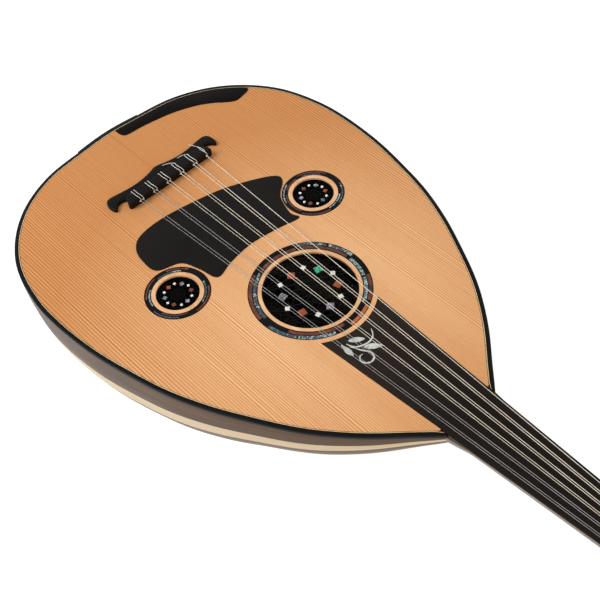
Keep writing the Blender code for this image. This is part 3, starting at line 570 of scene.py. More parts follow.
def rounded(points, reach, steps=4):
    """A closed outline with each corner turned into a curve that starts up to reach before it."""
    count = len(points)
    outline = []
    for index in range(count):
        corner = Vector(points[index])
        ends = []
        for other in (points[index - 1], points[(index + 1) % count]):
            edge = Vector(other) - corner
            ends.append(corner + edge.normalized() * min(reach, 0.5 * edge.length))
        for step in range(steps + 1):
            share = step / steps
            point = ends[0] * (1 - share) ** 2 + corner * 2 * share * (1 - share) + ends[1] * share ** 2
            if not outline or (Vector(outline[-1]) - point).length > 1e-6:
                outline.append(tuple(point))
    if (Vector(outline[0]) - Vector(outline[-1])).length < 1e-6:
        outline.pop()
    return outline


# ---------------------------------------------------------------- body outline and bowl
def edge_radius(angle):
    """Distance of the body's edge from the body centre, at an angle in degrees from the tail."""
    for index in range(1, len(BODY_EDGE) - 1):
        if angle <= BODY_EDGE[index + 1][0] or index == len(BODY_EDGE) - 2:
            break
    before, start, end = BODY_EDGE[index - 1:index + 2]
    after = BODY_EDGE[min(index + 2, len(BODY_EDGE) - 1)]
    span = end[0] - start[0]
    share = (angle - start[0]) / span
    slope_start = (end[1] - before[1]) / (end[0] - before[0]) * span
    slope_end = (after[1] - start[1]) / (after[0] - start[0]) * span
    square = share * share
    cube = square * share
    return MM * ((2 * cube - 3 * square + 1) * start[1] + (cube - 2 * square + share) * slope_start
                 + (3 * square - 2 * cube) * end[1] + (cube - square) * slope_end)


def edge_point(angle, inset=0.0):
    """A point of the body's edge in plan, moved inwards by inset."""
    def on_edge(degrees):
        turn = math.radians(degrees)
        radius = edge_radius(abs(degrees))
        x = min(max(radius * math.sin(turn), -WIDEST), WIDEST)
        return Vector((x, BODY_CENTRE_Y + radius * math.cos(turn)))

    along = on_edge(angle + 0.25) - on_edge(angle - 0.25)
    return on_edge(angle) + Vector((along.y, -along.x)).normalized() * inset


def bowl_depth(half_width, y):
    """How deep the bowl is under its middle, from its half width and place along the body."""
    share = max(LEAST_DEPTH_SHARE, DEPTH_SHARE + DEPTH_SHARE_PER_METRE * y)
    power = DEPTH_LIMIT_SHARPNESS
    return ((share * half_width) ** -power + DEPTH_LIMIT ** -power) ** (-1 / power)


def section_point(half_width, depth, turn, power=SECTION_POWER):
    """A point of a cross-section: turn is 0 under the middle and +-90 degrees at the edges."""
    side = math.sin(turn)
    down = math.cos(turn)
    size = (abs(side) ** power + abs(down) ** power) ** (1 / power)
    return half_width * side / size, -depth * down / size


def rib_turns():
    """Turns of the seams between ribs, which alternate wide and narrow in the widest section."""
    steps = 900
    quarter = math.pi / 2
    turns = [-quarter + math.pi * step / steps for step in range(steps + 1)]
    path = [Vector(section_point(1.0, 1.03, turn)) for turn in turns]
    lengths = [0.0]
    for here, there in zip(path, path[1:]):
        lengths.append(lengths[-1] + (there - here).length)
    weights = [WIDE_TO_NARROW_RIB if index % 2 == 0 else 1.0 for index in range(RIB_COUNT)]
    seams = []
    for index in range(RIB_COUNT + 1):
        target = lengths[-1] * sum(weights[:index]) / sum(weights)
        nearest = min(range(steps + 1), key=lambda i: abs(lengths[i] - target))
        seams.append(turns[nearest])
    for index in range(RIB_COUNT // 2 + 1):
        seams[RIB_COUNT - index] = -seams[index]
    return seams


def turn_at_level(half_width, depth, level, side):
    """The turn, on one side, where a cross-section reaches a level."""
    low, high = 0.0, math.pi / 2
    for _ in range(40):
        middle = 0.5 * (low + high)
        if section_point(half_width, depth, middle)[1] < level:
            low = middle
        else:
            high = middle
    return side * low


def bowl_point(angle, turn):
    """A point of the bowl's outer face: angle picks the cross-section and turn the place round it."""
    half_width, y = edge_point(angle)
    x, z = section_point(half_width, bowl_depth(half_width, y), turn)
    return Vector((x, y, max(z, FLOOR_LEVEL)))


def bowl_normal(angle, turn):
    """The direction out of the bowl at one of its points."""
    small = 0.012
    angle = min(max(angle, TAIL_OPENING_ANGLE + 0.5), NECK_JOINT_ANGLE - 0.5)
    along = bowl_point(angle + 0.4, turn) - bowl_point(angle - 0.4, turn)
    across = bowl_point(angle, turn + small) - bowl_point(angle, turn - small)
    return across.cross(along).normalized()


def build_ribs():
    """Bent ribs of walnut and maple in turn, each a thin solid with its grain along its length."""
    seams = rib_turns()
    stations = 96
    columns = 8
    span = NECK_JOINT_ANGLE - TAIL_OPENING_ANGLE
    rim = -BINDING_HEIGHT - 0.05 * MM
    seam_gap = 0.05 * MM
    for rib in range(RIB_COUNT):
        rings = []
        grain = []
        length = 0.0
        last = None
        for station in range(stations + 1):
            angle = TAIL_OPENING_ANGLE + span * station / stations
            half_width, y = edge_point(angle)
            depth = bowl_depth(half_width, y)
            ends = []
            for seam, side in ((rib, 1), (rib + 1, -1)):
                if seam in (0, RIB_COUNT):
                    ends.append(turn_at_level(half_width, depth, rim, 1 if seam else -1))
                else:
                    ends.append(seams[seam] + side * seam_gap / max(half_width, 20 * MM))
            turns = [ends[0] + (ends[1] - ends[0]) * column / columns for column in range(columns + 1)]
            outer = [bowl_point(angle, turn) for turn in turns]
            inner = [point - bowl_normal(angle, turn) * RIB_THICKNESS for point, turn in zip(outer, turns)]
            if rib == 0:
                inner[0].z = rim
            if rib == RIB_COUNT - 1:
                inner[-1].z = rim
            middle = outer[columns // 2]
            if last is not None:
                length += (middle - last).length
            last = middle
            width = (outer[0] - outer[-1]).length
            log = 0.31 * rib
            places = [(length, width * (column / columns - 0.5), log) for column in range(columns + 1)]
            grain += places + places[::-1]
            rings.append(outer + inner[::-1])
        material, slot = (MAPLE, "maple") if rib % 2 else (WALNUT, "walnut")
        Piece().loft(rings, grain=grain).make(f"bowl_rib_{rib + 1:02d}", material, slot,
                                              replaces=(f"rib_{rib + 1:02d}",), angle=40)


def edge_strip(name, material, slot, outer, inner, z_low, replaces=(), rounding=0.0):
    """A strip round the soundboard between two distances from the body's edge, open at the neck."""
    steps = 260
    rings = []
    for step in range(steps + 1):
        angle = -NECK_JOINT_ANGLE + 2 * NECK_JOINT_ANGLE * step / steps
        section = []
        corners = [(outer, z_low), (inner, z_low), (inner, 0.0)]
        if rounding:
            turns = [0.5 * math.pi * share / 4 for share in range(5)]
            corners += [(outer + rounding * (1 - math.sin(t)), -rounding * (1 - math.cos(t))) for t in turns]
        else:
            corners.append((outer, 0.0))
        for inset, z in corners:
            x, y = edge_point(angle, inset)
            if abs(angle) > 90:
                beside = fingerboard_half_width(y) + NECK_OVERHANG + 0.2 * MM
                x = math.copysign(max(abs(x), beside), x)
            section.append((x, y, z))
        rings.append(section)
    Piece().loft(rings).make(name, material, slot, replaces=replaces)


def surface_y(x, z):
    """How far towards the tail the bowl reaches above one point of the X-Z plane."""
    low, high = 60.0, 0.0
    for _ in range(30):
        middle = 0.5 * (low + high)
        half_width, y = edge_point(middle)
        depth = bowl_depth(half_width, y)
        if (abs(x) / half_width) ** SECTION_POWER + (abs(z) / depth) ** SECTION_POWER < 1.0:
            low = middle
        else:
            high = middle
    return edge_point(low).y


def build_end_clasp():
    """Curved cap over the tail ends of the ribs, with a lobed lower edge and rounded rims."""
    half_span = 39 * MM
    side_height = 5 * MM
    swell_height = 19 * MM
    lobe_height = 1.2 * MM
    thickness = 1.5 * MM
    columns = 64
    rows = 12
    inner = []
    outer = []
    for column in range(columns + 1):
        share = 2 * column / columns - 1
        x = half_span * share
        lobe = lobe_height * math.cos(5 * math.pi * share)
        drop = side_height + (swell_height + lobe) * (1 - share * share)
        for row in range(rows + 1):
            down = row / rows
            z = -0.2 * MM - drop * down
            y = surface_y(x, z)
            rim = min(1.0, 7 * down, 7 * (1 - down), 9 * (1 - abs(share)))
            swell = 0.55 + 0.45 * math.sin(0.5 * math.pi * max(rim, 0.0))
            plate = thickness * (1 - 0.5 * abs(share) ** 3) * swell
            inner.append((x, y - 0.4 * MM, z))
            outer.append((x, y + 0.3 * MM + plate, z))
    shift = len(inner)
    width = rows + 1
    faces = []
    for column in range(columns):
        for row in range(rows):
            corner = column * width + row
            quad = (corner, corner + 1, corner + width + 1, corner + width)
            faces += [quad, tuple(index + shift for index in quad)]
    border = list(range(width))
    border += [column * width + rows for column in range(1, columns + 1)]
    border += [columns * width + row for row in range(rows - 1, -1, -1)]
    border += [column * width for column in range(columns - 1, 0, -1)]
    for here, there in zip(border, border[1:] + border[:1]):
        faces.append((here, there, there + shift, here + shift))
    cap = Piece().add(inner + outer, faces)
    cap.make("tail_cap", BLACK_EDGE, "ebony", replaces=("end_clasp",), angle=50)


# ---------------------------------------------------------------- soundboard and its fittings
def fingerboard_half_width(y):
    return FINGERBOARD_HALF_WIDTH + FINGERBOARD_TAPER * y


def end_arc(radius, margin, steps=32):
    """The hollow end of the fingerboard, from its -X corner to its +X corner."""
    slope = FINGERBOARD_TAPER
    width = FINGERBOARD_HALF_WIDTH + margin
    a = 1 + slope * slope
    b = 2 * slope * width
    c = width * width - radius * radius
    corner_y = (-b - math.sqrt(b * b - 4 * a * c)) / (2 * a)
    limit = math.atan2(width + slope * corner_y, -corner_y)
    turns = [-limit + 2 * limit * step / steps for step in range(steps + 1)]
    return [(radius * math.sin(turn), -radius * math.cos(turn)) for turn in turns]


def ring_places():
    """Each sound hole's name, centre, outer radius and inner radius."""
    places = []
    for label in ("main", "bass", "treble"):
        low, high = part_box(f"ring_{label}")
        centre = (0.5 * (low.x + high.x) - ORIGIN.x, 0.5 * (low.y + high.y) - ORIGIN.y)
        outer = 0.5 * (high.x - low.x)
        inner = MAIN_HOLE_RADIUS if label == "main" else SMALL_HOLE_RADIUS
        places.append((label, centre, outer, inner))
    return places


def build_soundboard():
    """Spruce plate with three round holes and a notch for the fingerboard's tongue."""
    margin = 0.08 * MM
    right = []
    steps = 200
    for step in range(steps + 1):
        angle = TAIL_OPENING_ANGLE + (NECK_JOINT_ANGLE - TAIL_OPENING_ANGLE) * step / steps
        point = edge_point(angle, SOUNDBOARD_INSET)
        beside = fingerboard_half_width(point.y) + margin
        if point.y < 0 and point.x < beside:
            break
        right.append(tuple(point))
    middle = [tuple(edge_point(angle, SOUNDBOARD_INSET)) for angle in (-3.3, -1.7, 0.0, 1.7, 3.3)]
    last_y = right[-1][1]
    right.append((fingerboard_half_width(last_y) + margin, last_y))
    left = [(-x, y) for x, y in reversed(right)]
    outline = left + middle + right + list(reversed(end_arc(FINGERBOARD_END_RADIUS - margin, margin)))
    board = Piece().plate(outline, -SOUNDBOARD_THICKNESS, 0.0)
    top = board.make("spruce_top", SPRUCE_TOP, "spruce", replaces=("soundboard",))
    for _, (x, y), outer, _ in ring_places():
        radius = outer + 0.03 * MM
        circle = [(x + radius * math.cos(t), y + radius * math.sin(t)) for t in turns_round(128)]
        cut(top, Piece().plate(circle, -10 * MM, 10 * MM))
    top.data.shade_flat()


def cut(item, cutter):
    """Takes the cutter's solid away from an object."""
    tool = cutter.make("cutter", EBONY, "ebony")
    modifier = item.modifiers.new("cut", "BOOLEAN")
    modifier.operation = "DIFFERENCE"
    modifier.solver = "EXACT"
    modifier.object = tool
    bpy.context.view_layer.update()
    mesh = bpy.data.meshes.new_from_object(item.evaluated_get(bpy.context.evaluated_depsgraph_get()))
    item.modifiers.clear()
    item.data = mesh
    bpy.data.objects.remove(tool)


# Inlay of each ring: for each kind and band, where its arcs start and end, in degrees anticlockwise from
# the bass side, and the tint of those in shell.
MAIN_INLAY = {
    "abalone": {"outer": ((184, 214, 0.58), (215, 250, 0.10), (30, 60, 0.62), (1, 28, 0.36)),
                "inner": ((112, 174, 0.45), (332, 359, 0.90), (296, 330, 0.22))},
    "rosewood": {"outer": ((116, 172), (300, 332)), "inner": ((204, 262), (62, 110), (4, 58))},
    "orange": {"outer": ((268, 294),)},
}
TREBLE_INLAY = {
    "abalone": {"outer": ((182, 232, 0.60),), "inner": ((128, 170, 0.28), (44, 96, 0.40), (290, 345, 0.75))},
    "rosewood": {"outer": ((100, 150), (30, 72), (268, 330)), "inner": ((198, 252),)},
}
BASS_INLAY = {
    "abalone": {"outer": ((110, 162, 0.12), (286, 342, 0.50)), "inner": ((30, 72, 0.62), (262, 310, 0.30))},
    "rosewood": {"outer": ((205, 262), (20, 80)), "inner": ((140, 200), (86, 126))},
}
MAIN_BANDS = {"outer": (0.928, 0.985), "inner": (0.856, 0.912), "pale": (0.7757, 0.838)}
SMALL_BANDS = {"outer": (0.490, 0.516), "inner": (0.445, 0.467), "pale": (0.3566, 0.428)}
INLAYS = {"main": (MAIN_INLAY, MAIN_BANDS), "treble": (TREBLE_INLAY, SMALL_BANDS),
          "bass": (BASS_INLAY, SMALL_BANDS)}
INLAY_LOOKS = {"abalone": (ABALONE, "bone"), "rosewood": (ROSEWOOD, "rosewood"),
               "orange": (ORANGE_WOOD, "rosewood")}


def build_rings():
    """Sound-hole rings: a black base with arcs of shell and rosewood let into it, and a pale inner ring."""
    for label, centre, outer, inner in ring_places():
        inlays, bands = INLAYS[label]
        low = -SOUNDBOARD_THICKNESS
        edge = bands["pale"][1] * R
        base = Piece().sector(centre, edge, outer - SHIM, 0, 360, low, -0.04 * MM)
        base.make(f"rim_{label}_black", BLACK_EDGE, "ebony", replaces=(f"ring_{label}",))
        pale = Piece().sector(centre, inner, edge - 0.05 * MM, 0, 360, low, 0.0)
        pale.make(f"rim_{label}_pale", PALE_WOOD, "spruce")
        for kind, arcs in inlays.items():
            inlay = Piece()
            for band, places in arcs.items():
                near, far = bands[band]
                for start, end, *tint in places:
                    inlay.sector(centre, near * R, far * R, start, end, -INLAY_DEPTH, 0.0, *tint)
            inlay.make(f"inlay_{label}_{kind}", *INLAY_LOOKS[kind])


# Colour and direction, in degrees, of each hole's coloured diamonds.
DIAMONDS = {
    "main": (("amber", 90), ("amber", 210), ("amber", 330), ("green", 30), ("grey", 150), ("lilac", 270)),
    "treble": (("amber", 95), ("brown", 213), ("brown", 336), ("teal", 155), ("grey", 35), ("lilac", 275)),
    "bass": (("brown", 95), ("brown", 213), ("amber", 336), ("lilac", 155), ("grey", 35), ("teal", 275)),
}
# Turn of the first diamond in degrees, width of the bars and of the frame in millimetres, then for the white
# and the coloured diamonds their distance from the middle in units of R and half size in millimetres.
LARGE_ROSETTE = (0.0, 1.15, 1.6, (0.50, 3.1), (0.45, 4.9))
SMALL_ROSETTE = (5.0, 0.7, 0.9, (0.231, 1.6), (0.219, 2.6))
LATTICE_CORNERS = 12


def lattice_strip(piece, start, end, width, low, high):
    """A bar with a ridged top between two points in plan."""
    start, end = Vector(start), Vector(end)
    along = (end - start).normalized()
    across = sideways(along)
    shoulder = low + 0.6 * (high - low)
    profile = ((-0.5, low), (-0.5, shoulder), (-0.2, high), (0.2, high), (0.5, shoulder), (0.5, low))
    piece.loft([[(*(point + across * width * share), z) for share, z in profile] for point in (start, end)])


def build_rosettes():
    """Carved star lattices behind the sound holes, set with white and coloured diamonds."""
    for label, centre, _, hole in ring_places():
        first, bar, frame_width, white, coloured = LARGE_ROSETTE if label == "main" else SMALL_ROSETTE
        top = -SOUNDBOARD_THICKNESS - 0.25 * MM
        low = top - 1.5 * MM
        centre = Vector(centre)
        lattice = Piece().sector(centre, hole - frame_width * MM, hole + 3.5 * MM, 0, 360, low, top)
        reach = hole + 1.0 * MM
        for order, (radius, steps) in enumerate(((reach, 3), (reach, 4), (reach, 5), (0.42 * hole, 5))):
            for corner in range(LATTICE_CORNERS):
                ends = []
                for which in (corner, corner + steps):
                    turn = math.radians(first + 15 + which * 360 / LATTICE_CORNERS)
                    ends.append(centre + Vector((math.cos(turn), math.sin(turn))) * radius)
                drop = 0.1 * MM * order + 0.03 * MM * (corner % 3)
                lattice_strip(lattice, *ends, bar * MM, low + 0.2 * MM, top - drop)
        hub = 0.07 * hole
        lattice.sector(centre, 0.4 * hub, hub, 0, 360, low, top - 0.1 * MM)
        lattice.make(f"lattice_{label}", LATTICE, "ebony", replaces=(f"rosette_{label}",), angle=25)
        pearls = Piece()
        for turn in range(0, 360, 60):
            diamond(pearls, centre, first + turn, *white, top)
        pearls.make(f"diamonds_{label}_white", WHITE_PEARL, "bone")
        for number, (colour, turn) in enumerate(DIAMONDS[label], start=1):
            stone = Piece()
            diamond(stone, centre, turn, *coloured, top)
            stone.make(f"diamond_{label}_{number}_{colour}", STONES[colour], "bone")


def diamond(piece, centre, turn, distance, half, top):
    """A bevelled square with a corner to the centre; distance is in units of R and half in millimetres."""
    turn = math.radians(turn)
    half *= MM
    along = Vector((math.cos(turn), math.sin(turn)))
    across = sideways(along)
    place = centre + along * (distance * R)
    outline = [tuple(place + along * half * a + across * half * b)
               for a, b in ((1, 0), (0, 1), (-1, 0), (0, -1))]
    piece.plate(rounded(outline, 0.12 * half, 2), top - 0.8 * MM, top + 0.35 * MM, 0.15 * MM, 2)


def build_plates():
    """Pickguard and arm guard: thin black plates with softened edges."""
    points = (
        (-80.5, 156), (-66, 167), (-33, 168.7), (17.4, 159.1), (48, 147.7), (76, 131.5), (77.5, 120.5),
        (61, 105.5), (52.5, 83), (54, 71.5), (30, 76.5), (0, 80.6), (-28, 77.5), (-49, 72.5),
        (-54.5, 92), (-62, 111), (-83.5, 120.5), (-85.5, 139),
    )
    guard = Piece().plate(smooth([(x * MM, y * MM) for x, y in points], 10), SHIM, 0.8 * MM, 0.35 * MM)
    guard.make("pick_plate", BLACK_PLATE, "ebony", replaces=("pickguard",))
    outer = [tuple(edge_point(2.2 + 43.8 * step / 60, 5.3 * MM)) for step in range(61)]
    inner = ((145.8, 249), (137, 246.8), (126, 246), (116, 253), (107, 261.5), (91.4, 272), (65.5, 282.5),
             (34, 289), (14, 291), (8.4, 295.5))
    middle = [(x * MM, y * MM) for x, y in inner]
    outline = outer[:-1] + smooth([outer[-1]] + middle + [outer[0]], 6, closed=False)[:-1]
    rest = Piece().plate(outline, SHIM, 0.75 * MM, 0.3 * MM)
    rest.make("arm_plate", ARM_PLATE, "ebony", replaces=("arm_guard",))


# ---------------------------------------------------------------- bridge and strings
# The first course's x, the pitch of the courses and half the width of a pair, in millimetres.
COURSES_AT_BRIDGE = (-38.3, 17.2, 1.65)
COURSES_AT_NUT = (-14.9, 6.0, 0.8)


def string_ends():
    """The x of each string at the bridge and at the nut, from the treble side to the bass side."""
    sides = [(string // 2, -1 if string % 2 == 0 else 1) for string in range(STRING_COUNT)]
    return [[(first + pitch * course + apart * side) * MM
             for first, pitch, apart in (COURSES_AT_BRIDGE, COURSES_AT_NUT)] for course, side in sides]


def string_radius(string):
    thin, thick = STRING_RADII
    return thin + (thick - thin) * string / (STRING_COUNT - 1)


def string_looks(string):
    return NYLON if string < PLAIN_STRINGS else WOUND, "string"


def build_bridge():
    """Thin base with curled horns, and the tie block glued along its front."""
    half_base = (
        (0, 29), (9, 26), (19, 23.6), (33, 22.8), (47, 24.4), (59, 26.6), (64.5, 25.2), (67, 20.5),
        (67.2, 14), (66, 8.6), (64, 7.8), (62.6, 9.4), (60, 12.8), (56, 14.8), (51.6, 14.3), (48.4, 12.6),
        (52.8, 4.5), (52.8, 0.3),
    )

    def both_sides(half):
        right = [(BRIDGE_CENTRE_X + x * MM, BRIDGE_FRONT_Y + y * MM) for x, y in half]
        left = [(2 * BRIDGE_CENTRE_X - x, y) for x, y in reversed(right)]
        return left + right[1:] if half[0][0] == 0 else left + right

    base = Piece().plate(rounded(both_sides(half_base), 6 * MM, 6), SHIM, BRIDGE_WING_TOP, 1.1 * MM, 4)
    half_block = ((47.6, 12.9), (52.6, 4.6), (52.6, 0.2))
    base.plate(rounded(both_sides(half_block), 1.2 * MM, 4), 0.5 * MM, BRIDGE_BLOCK_TOP, 0.9 * MM, 4)
    base.make("tie_bridge", BRIDGE_WOOD, "ebony", replaces=("bridge",), angle=30)


def route_of(string):
    """A string's x at the bridge and the nut, where it lands on its peg, the peg's number and its x there."""
    at_bridge, at_nut = string_ends()[string]
    radius = string_radius(string)
    from_bass = STRING_COUNT - 1 - string
    peg = 2 * string if string <= from_bass else 2 * from_bass + 1
    lane = peg_lane(peg, at_nut)
    above = shaft_radius(peg, lane) + radius + 0.1 * MM
    landing = pegbox_point(peg_along(peg), peg_level(peg) - above, lane)
    return at_bridge, at_nut, landing, peg, lane


def peg_lane(peg, at_nut):
    """The x at which a string meets its peg."""
    room = pegbox_half_width(peg_along(peg)) - PEGBOX_CHEEK - 3.2 * MM
    return at_nut * room / PEGBOX_HALF_WIDTH


def build_strings():
    """Eleven strings, each tied in a loop over the bridge block."""
    for string in range(STRING_COUNT):
        at_bridge, at_nut, landing, _, _ = route_of(string)
        radius = string_radius(string)
        nut_z = STRING_LEVEL_AT_NUT + radius
        start = Vector((at_bridge, BRIDGE_FRONT_Y + 0.8 * MM, STRING_LEVEL))
        front = Vector((at_nut, NUT_Y, nut_z))
        back = Vector((at_nut, NUT_Y - NUT_LENGTH, nut_z))
        path = [start.lerp(front, share) for share in (0.0, 0.25, 0.5, 0.75, 0.995)]
        path += [front.lerp(back, share) for share in (0.2, 0.5, 0.8)]
        path += [back.lerp(landing, share) for share in (0.02, 0.1, 0.5, 1.0)]
        line = Piece().tube(path, radius, 12)
        line.make(f"course_string_{string + 1:02d}", *string_looks(string),
                  replaces=(f"string_{string + 1:02d}",), angle=60)
        build_tie(string, at_bridge, radius)


def build_tie(string, x, radius):
    """The knot: back over the block from a loop round the string, with a tail on the lower courses."""
    thick = 0.2 * MM + 0.4 * radius
    top = BRIDGE_BLOCK_TOP + thick
    ceiling = BRIDGE_TOP - 1.05 * thick
    front = BRIDGE_FRONT_Y
    points = [(x + a * MM, front + b * MM, c * MM) for a, b, c in (
        (-1, -0.9, 4.9), (0.2, -1.3, 4.5), (1, -0.9, 5.6), (0.8, -0.6, 7.4))]
    points += [(x + a * MM, front + b * MM, top + c * MM) for a, b, c in (
        (0.3, 0.2, -0.3), (0, 2.5, 0), (-0.4, 7, 0), (-0.2, 11.6, 0), (0, 13.4, -0.9), (0, 13.7, -3))]
    points += [(x, front + 13.4 * MM, 6 * MM), (x, front + 12 * MM, 5.4 * MM)]
    knot = Piece().tube(smooth(points, 6, closed=False), thick, 8)
    twist = []
    for step in range(25):
        share = step / 24
        turn = math.tau * 1.5 * share
        reach = radius + 0.8 * thick
        twist.append((x + reach * math.cos(turn), front - (0.5 + 1.4 * share) * MM,
                      STRING_LEVEL + reach * math.sin(turn)))
    knot.tube(twist, 0.75 * thick, 8)
    tails = {
        7: ((0, 11.6, 0.2), (-3, 14.6, 0.2), (-6.5, 18.2, -1.0), (-9.2, 21.4, -3)),
        9: ((0, 11.6, 0.2), (-3.5, 14.2, 0.2), (-6.5, 16.4, -1.2), (-9.2, 18.4, -3)),
        10: ((0.8, 1.5, 0.2), (1.3, 6, 0.3), (0.2, 11.5, 0.3), (-2.2, 17.5, 0.3), (-4.5, 22.8, 0)),
    }
    if string in tails:
        tail = [(x + a * MM, front + b * MM, min(top + c * MM, ceiling)) for a, b, c in tails[string]]
        knot.tube(smooth(tail, 6, closed=False), 0.8 * thick, 8)
    knot.make(f"tie_knot_{string + 1:02d}", KNOT, "string", angle=60)


# ---------------------------------------------------------------- neck and fingerboard
VINE_LEAVES = (
    ((-0.45, -1.40), (-0.49, -1.30), (-0.47, -1.21), (-0.44, -1.13), (-0.41, -1.21), (-0.40, -1.31)),
    ((-0.31, -1.15), (-0.24, -1.155), (-0.16, -1.20), (-0.10, -1.30), (-0.19, -1.285), (-0.27, -1.23)),
    ((-0.23, -1.40), (-0.15, -1.41), (-0.07, -1.46), (-0.005, -1.58), (-0.10, -1.56), (-0.19, -1.49)),
)
VINE_STEMS = (
    ((-0.37, -1.17), (-0.345, -1.25), (-0.30, -1.32), (-0.20, -1.37), (-0.10, -1.39), (-0.01, -1.37),
     (0.05, -1.32), (0.10, -1.24)),
    ((-0.37, -1.24), (-0.33, -1.33), (-0.29, -1.42), (-0.245, -1.49), (-0.22, -1.55), (-0.25, -1.64),
     (-0.34, -1.67), (-0.42, -1.62), (-0.44, -1.54), (-0.39, -1.48), (-0.33, -1.48)),
)


def build_fingerboard():
    """Tapered board, level with the soundboard, with a vine of pearl let into its end."""
    nut_end = NUT_Y + 0.1 * MM
    half = fingerboard_half_width(nut_end)
    outline = [(-half, nut_end), (half, nut_end)]
    places = [(fingerboard_half_width(NUT_Y * share), NUT_Y * share) for share in (0.8, 0.6, 0.4, 0.2)]
    outline += places + end_arc(FINGERBOARD_END_RADIUS, 0.0)[::-1] + [(-x, y) for x, y in places[::-1]]
    board = Piece().plate(outline, -SOUNDBOARD_THICKNESS, 0.0, 0.12 * MM, 2)
    board.make("board", BOARD_EBONY, "ebony", replaces=("fingerboard",))
    vine = Piece()
    for leaf in VINE_LEAVES:
        vine.plate(smooth([(x * R, y * R) for x, y in leaf], 6), -0.5 * MM, 0.05 * MM)
    for stem in VINE_STEMS:
        line = [Vector(point) for point in smooth([(x * R, y * R) for x, y in stem], 6, closed=False)]
        rings = []
        for index, point in enumerate(line):
            across = sideways(path_direction(line, index))
            share = index / (len(line) - 1)
            half_wide = (0.25 + 0.6 * math.sin(math.pi * share) ** 0.7) * MM
            corners = ((1, 0.04), (1, -0.5), (-1, -0.5), (-1, 0.04))
            rings.append([(*(point + across * half_wide * side), z * MM) for side, z in corners])
        vine.loft(rings)
    vine.make("vine_inlay", PEARL, "bone")


def neck_half_width(y):
    return fingerboard_half_width(y) + NECK_OVERHANG


def build_neck():
    """Round-backed neck from the bowl to its slanted joint with the pegbox, with a pale veneer on top."""
    joint_half, joint_y = edge_point(NECK_JOINT_ANGLE)
    joint_depth = bowl_depth(joint_half, joint_y)
    start = joint_y - 0.1 * MM
    end = NUT_Y - NUT_LENGTH - 2 * GAP
    top = -SOUNDBOARD_THICKNESS - GAP
    stations = 40
    rings = []
    for station in range(stations + 1):
        share = station / stations
        y = start + (end - start) * share
        shoulder = min(1.0, (start - y) / HEEL_LENGTH)
        half = joint_half + (neck_half_width(joint_y - HEEL_LENGTH) - joint_half) * shoulder
        if shoulder >= 1.0:
            half = neck_half_width(y)
        power = SECTION_POWER + (NECK_SECTION_POWER - SECTION_POWER) * shoulder
        depth = joint_depth + (NECK_DEPTH_AT_NUT - joint_depth) * share
        slant = math.tan(PEGBOX_TILT / 2) * max(0.0, 3 * share - 2)
        ring = []
        for step in range(33):
            turn = -math.pi / 2 + math.pi * step / 32
            x, z = section_point(half, depth + top, turn, power)
            ring.append((x, y - z * slant, z + top))
        rings.append(ring)
    Piece().loft(rings).make("neck_shaft", NECK_WALNUT, "walnut", replaces=("neck",), angle=50)
    outline = [(neck_half_width(y), y) for y in (start, end)]
    outline += [(-x, y) for x, y in reversed(outline)]
    veneer = Piece().plate(outline, top + 0.01 * MM, -SOUNDBOARD_THICKNESS - 0.01 * MM)
    veneer.make("neck_veneer", VENEER, "maple")


def build_nut():
    """Bone nut with a groove under each string."""
    half = fingerboard_half_width(NUT_Y)
    grooves = [(at_nut, string_radius(string)) for string, (_, at_nut) in enumerate(string_ends())]
    steps = 300
    rings = []
    for step in range(steps + 1):
        x = -half + 2 * half * step / steps
        top = 2.3 * MM - 0.5 * MM * (x / half) ** 4
        for centre, radius in grooves:
            inside = 1 - ((x - centre) / (radius + 0.08 * MM)) ** 2
            if inside > 0:
                groove = (radius + 0.02 * MM) * math.sqrt(inside)
                top = min(top, STRING_LEVEL_AT_NUT + radius - groove)
        back, low = NUT_Y - NUT_LENGTH, -SOUNDBOARD_THICKNESS
        section = [(back, low), (NUT_Y, low), (NUT_Y, top - 0.2 * MM), (NUT_Y - 0.3 * MM, top)]
        section += [(back + y * MM, top - z * MM) for y, z in ((2.2, 0), (1, 0.25), (0.3, 0.7), (0, 1.3))]
        rings.append([(x, y, z) for y, z in section])
    Piece().loft(rings).make("bone_nut", BONE, "bone", replaces=("nut",))


# ---------------------------------------------------------------- pegbox and pegs
def pegbox_point(along, below, x=0.0):
    """A point of the pegbox: along it from the nut, and below its open face."""
    start_y = NUT_Y - NUT_LENGTH - 3 * GAP
    start_z = -SOUNDBOARD_THICKNESS - GAP
    return Vector((x, start_y - along * math.cos(PEGBOX_TILT) + below * math.sin(PEGBOX_TILT),
                   start_z - along * math.sin(PEGBOX_TILT) - below * math.cos(PEGBOX_TILT)))


def pegbox_share(along):
    return min(max(along / PEGBOX_LENGTH, 0.0), 1.0)


def pegbox_half_width(along):
    return PEGBOX_HALF_WIDTH - PEGBOX_NARROWING * pegbox_share(along)


def pegbox_depth(along):
    return PEGBOX_DEPTH - PEGBOX_THINNING * pegbox_share(along)


def peg_along(peg):
    return FIRST_PEG + PEG_PITCH * peg


def peg_level(peg):
    return FIRST_PEG_LEVEL - PEG_LEVEL_RISE * peg / (STRING_COUNT - 1)


def peg_axis(peg):
    return pegbox_point(peg_along(peg), peg_level(peg))


def peg_side(peg):
    return -1 if peg % 2 == 0 else 1


def shaft_radius(peg, x):
    """Radius of a peg's tapered shaft at x, largest at the head's side of the pegbox."""
    return SHAFT_RADIUS + SHAFT_TAPER * (0.5 + 0.5 * peg_side(peg) * x / SHAFT_HALF_LENGTH)


def side_solid(profile, narrowing=0.0):
    """A solid from a side view of the pegbox, as wide at each point as its distance along allows."""
    return Piece().loft([[pegbox_point(a, b, side * (pegbox_half_width(a) - narrowing)) for a, b in profile]
                         for side in (-1, 1)])


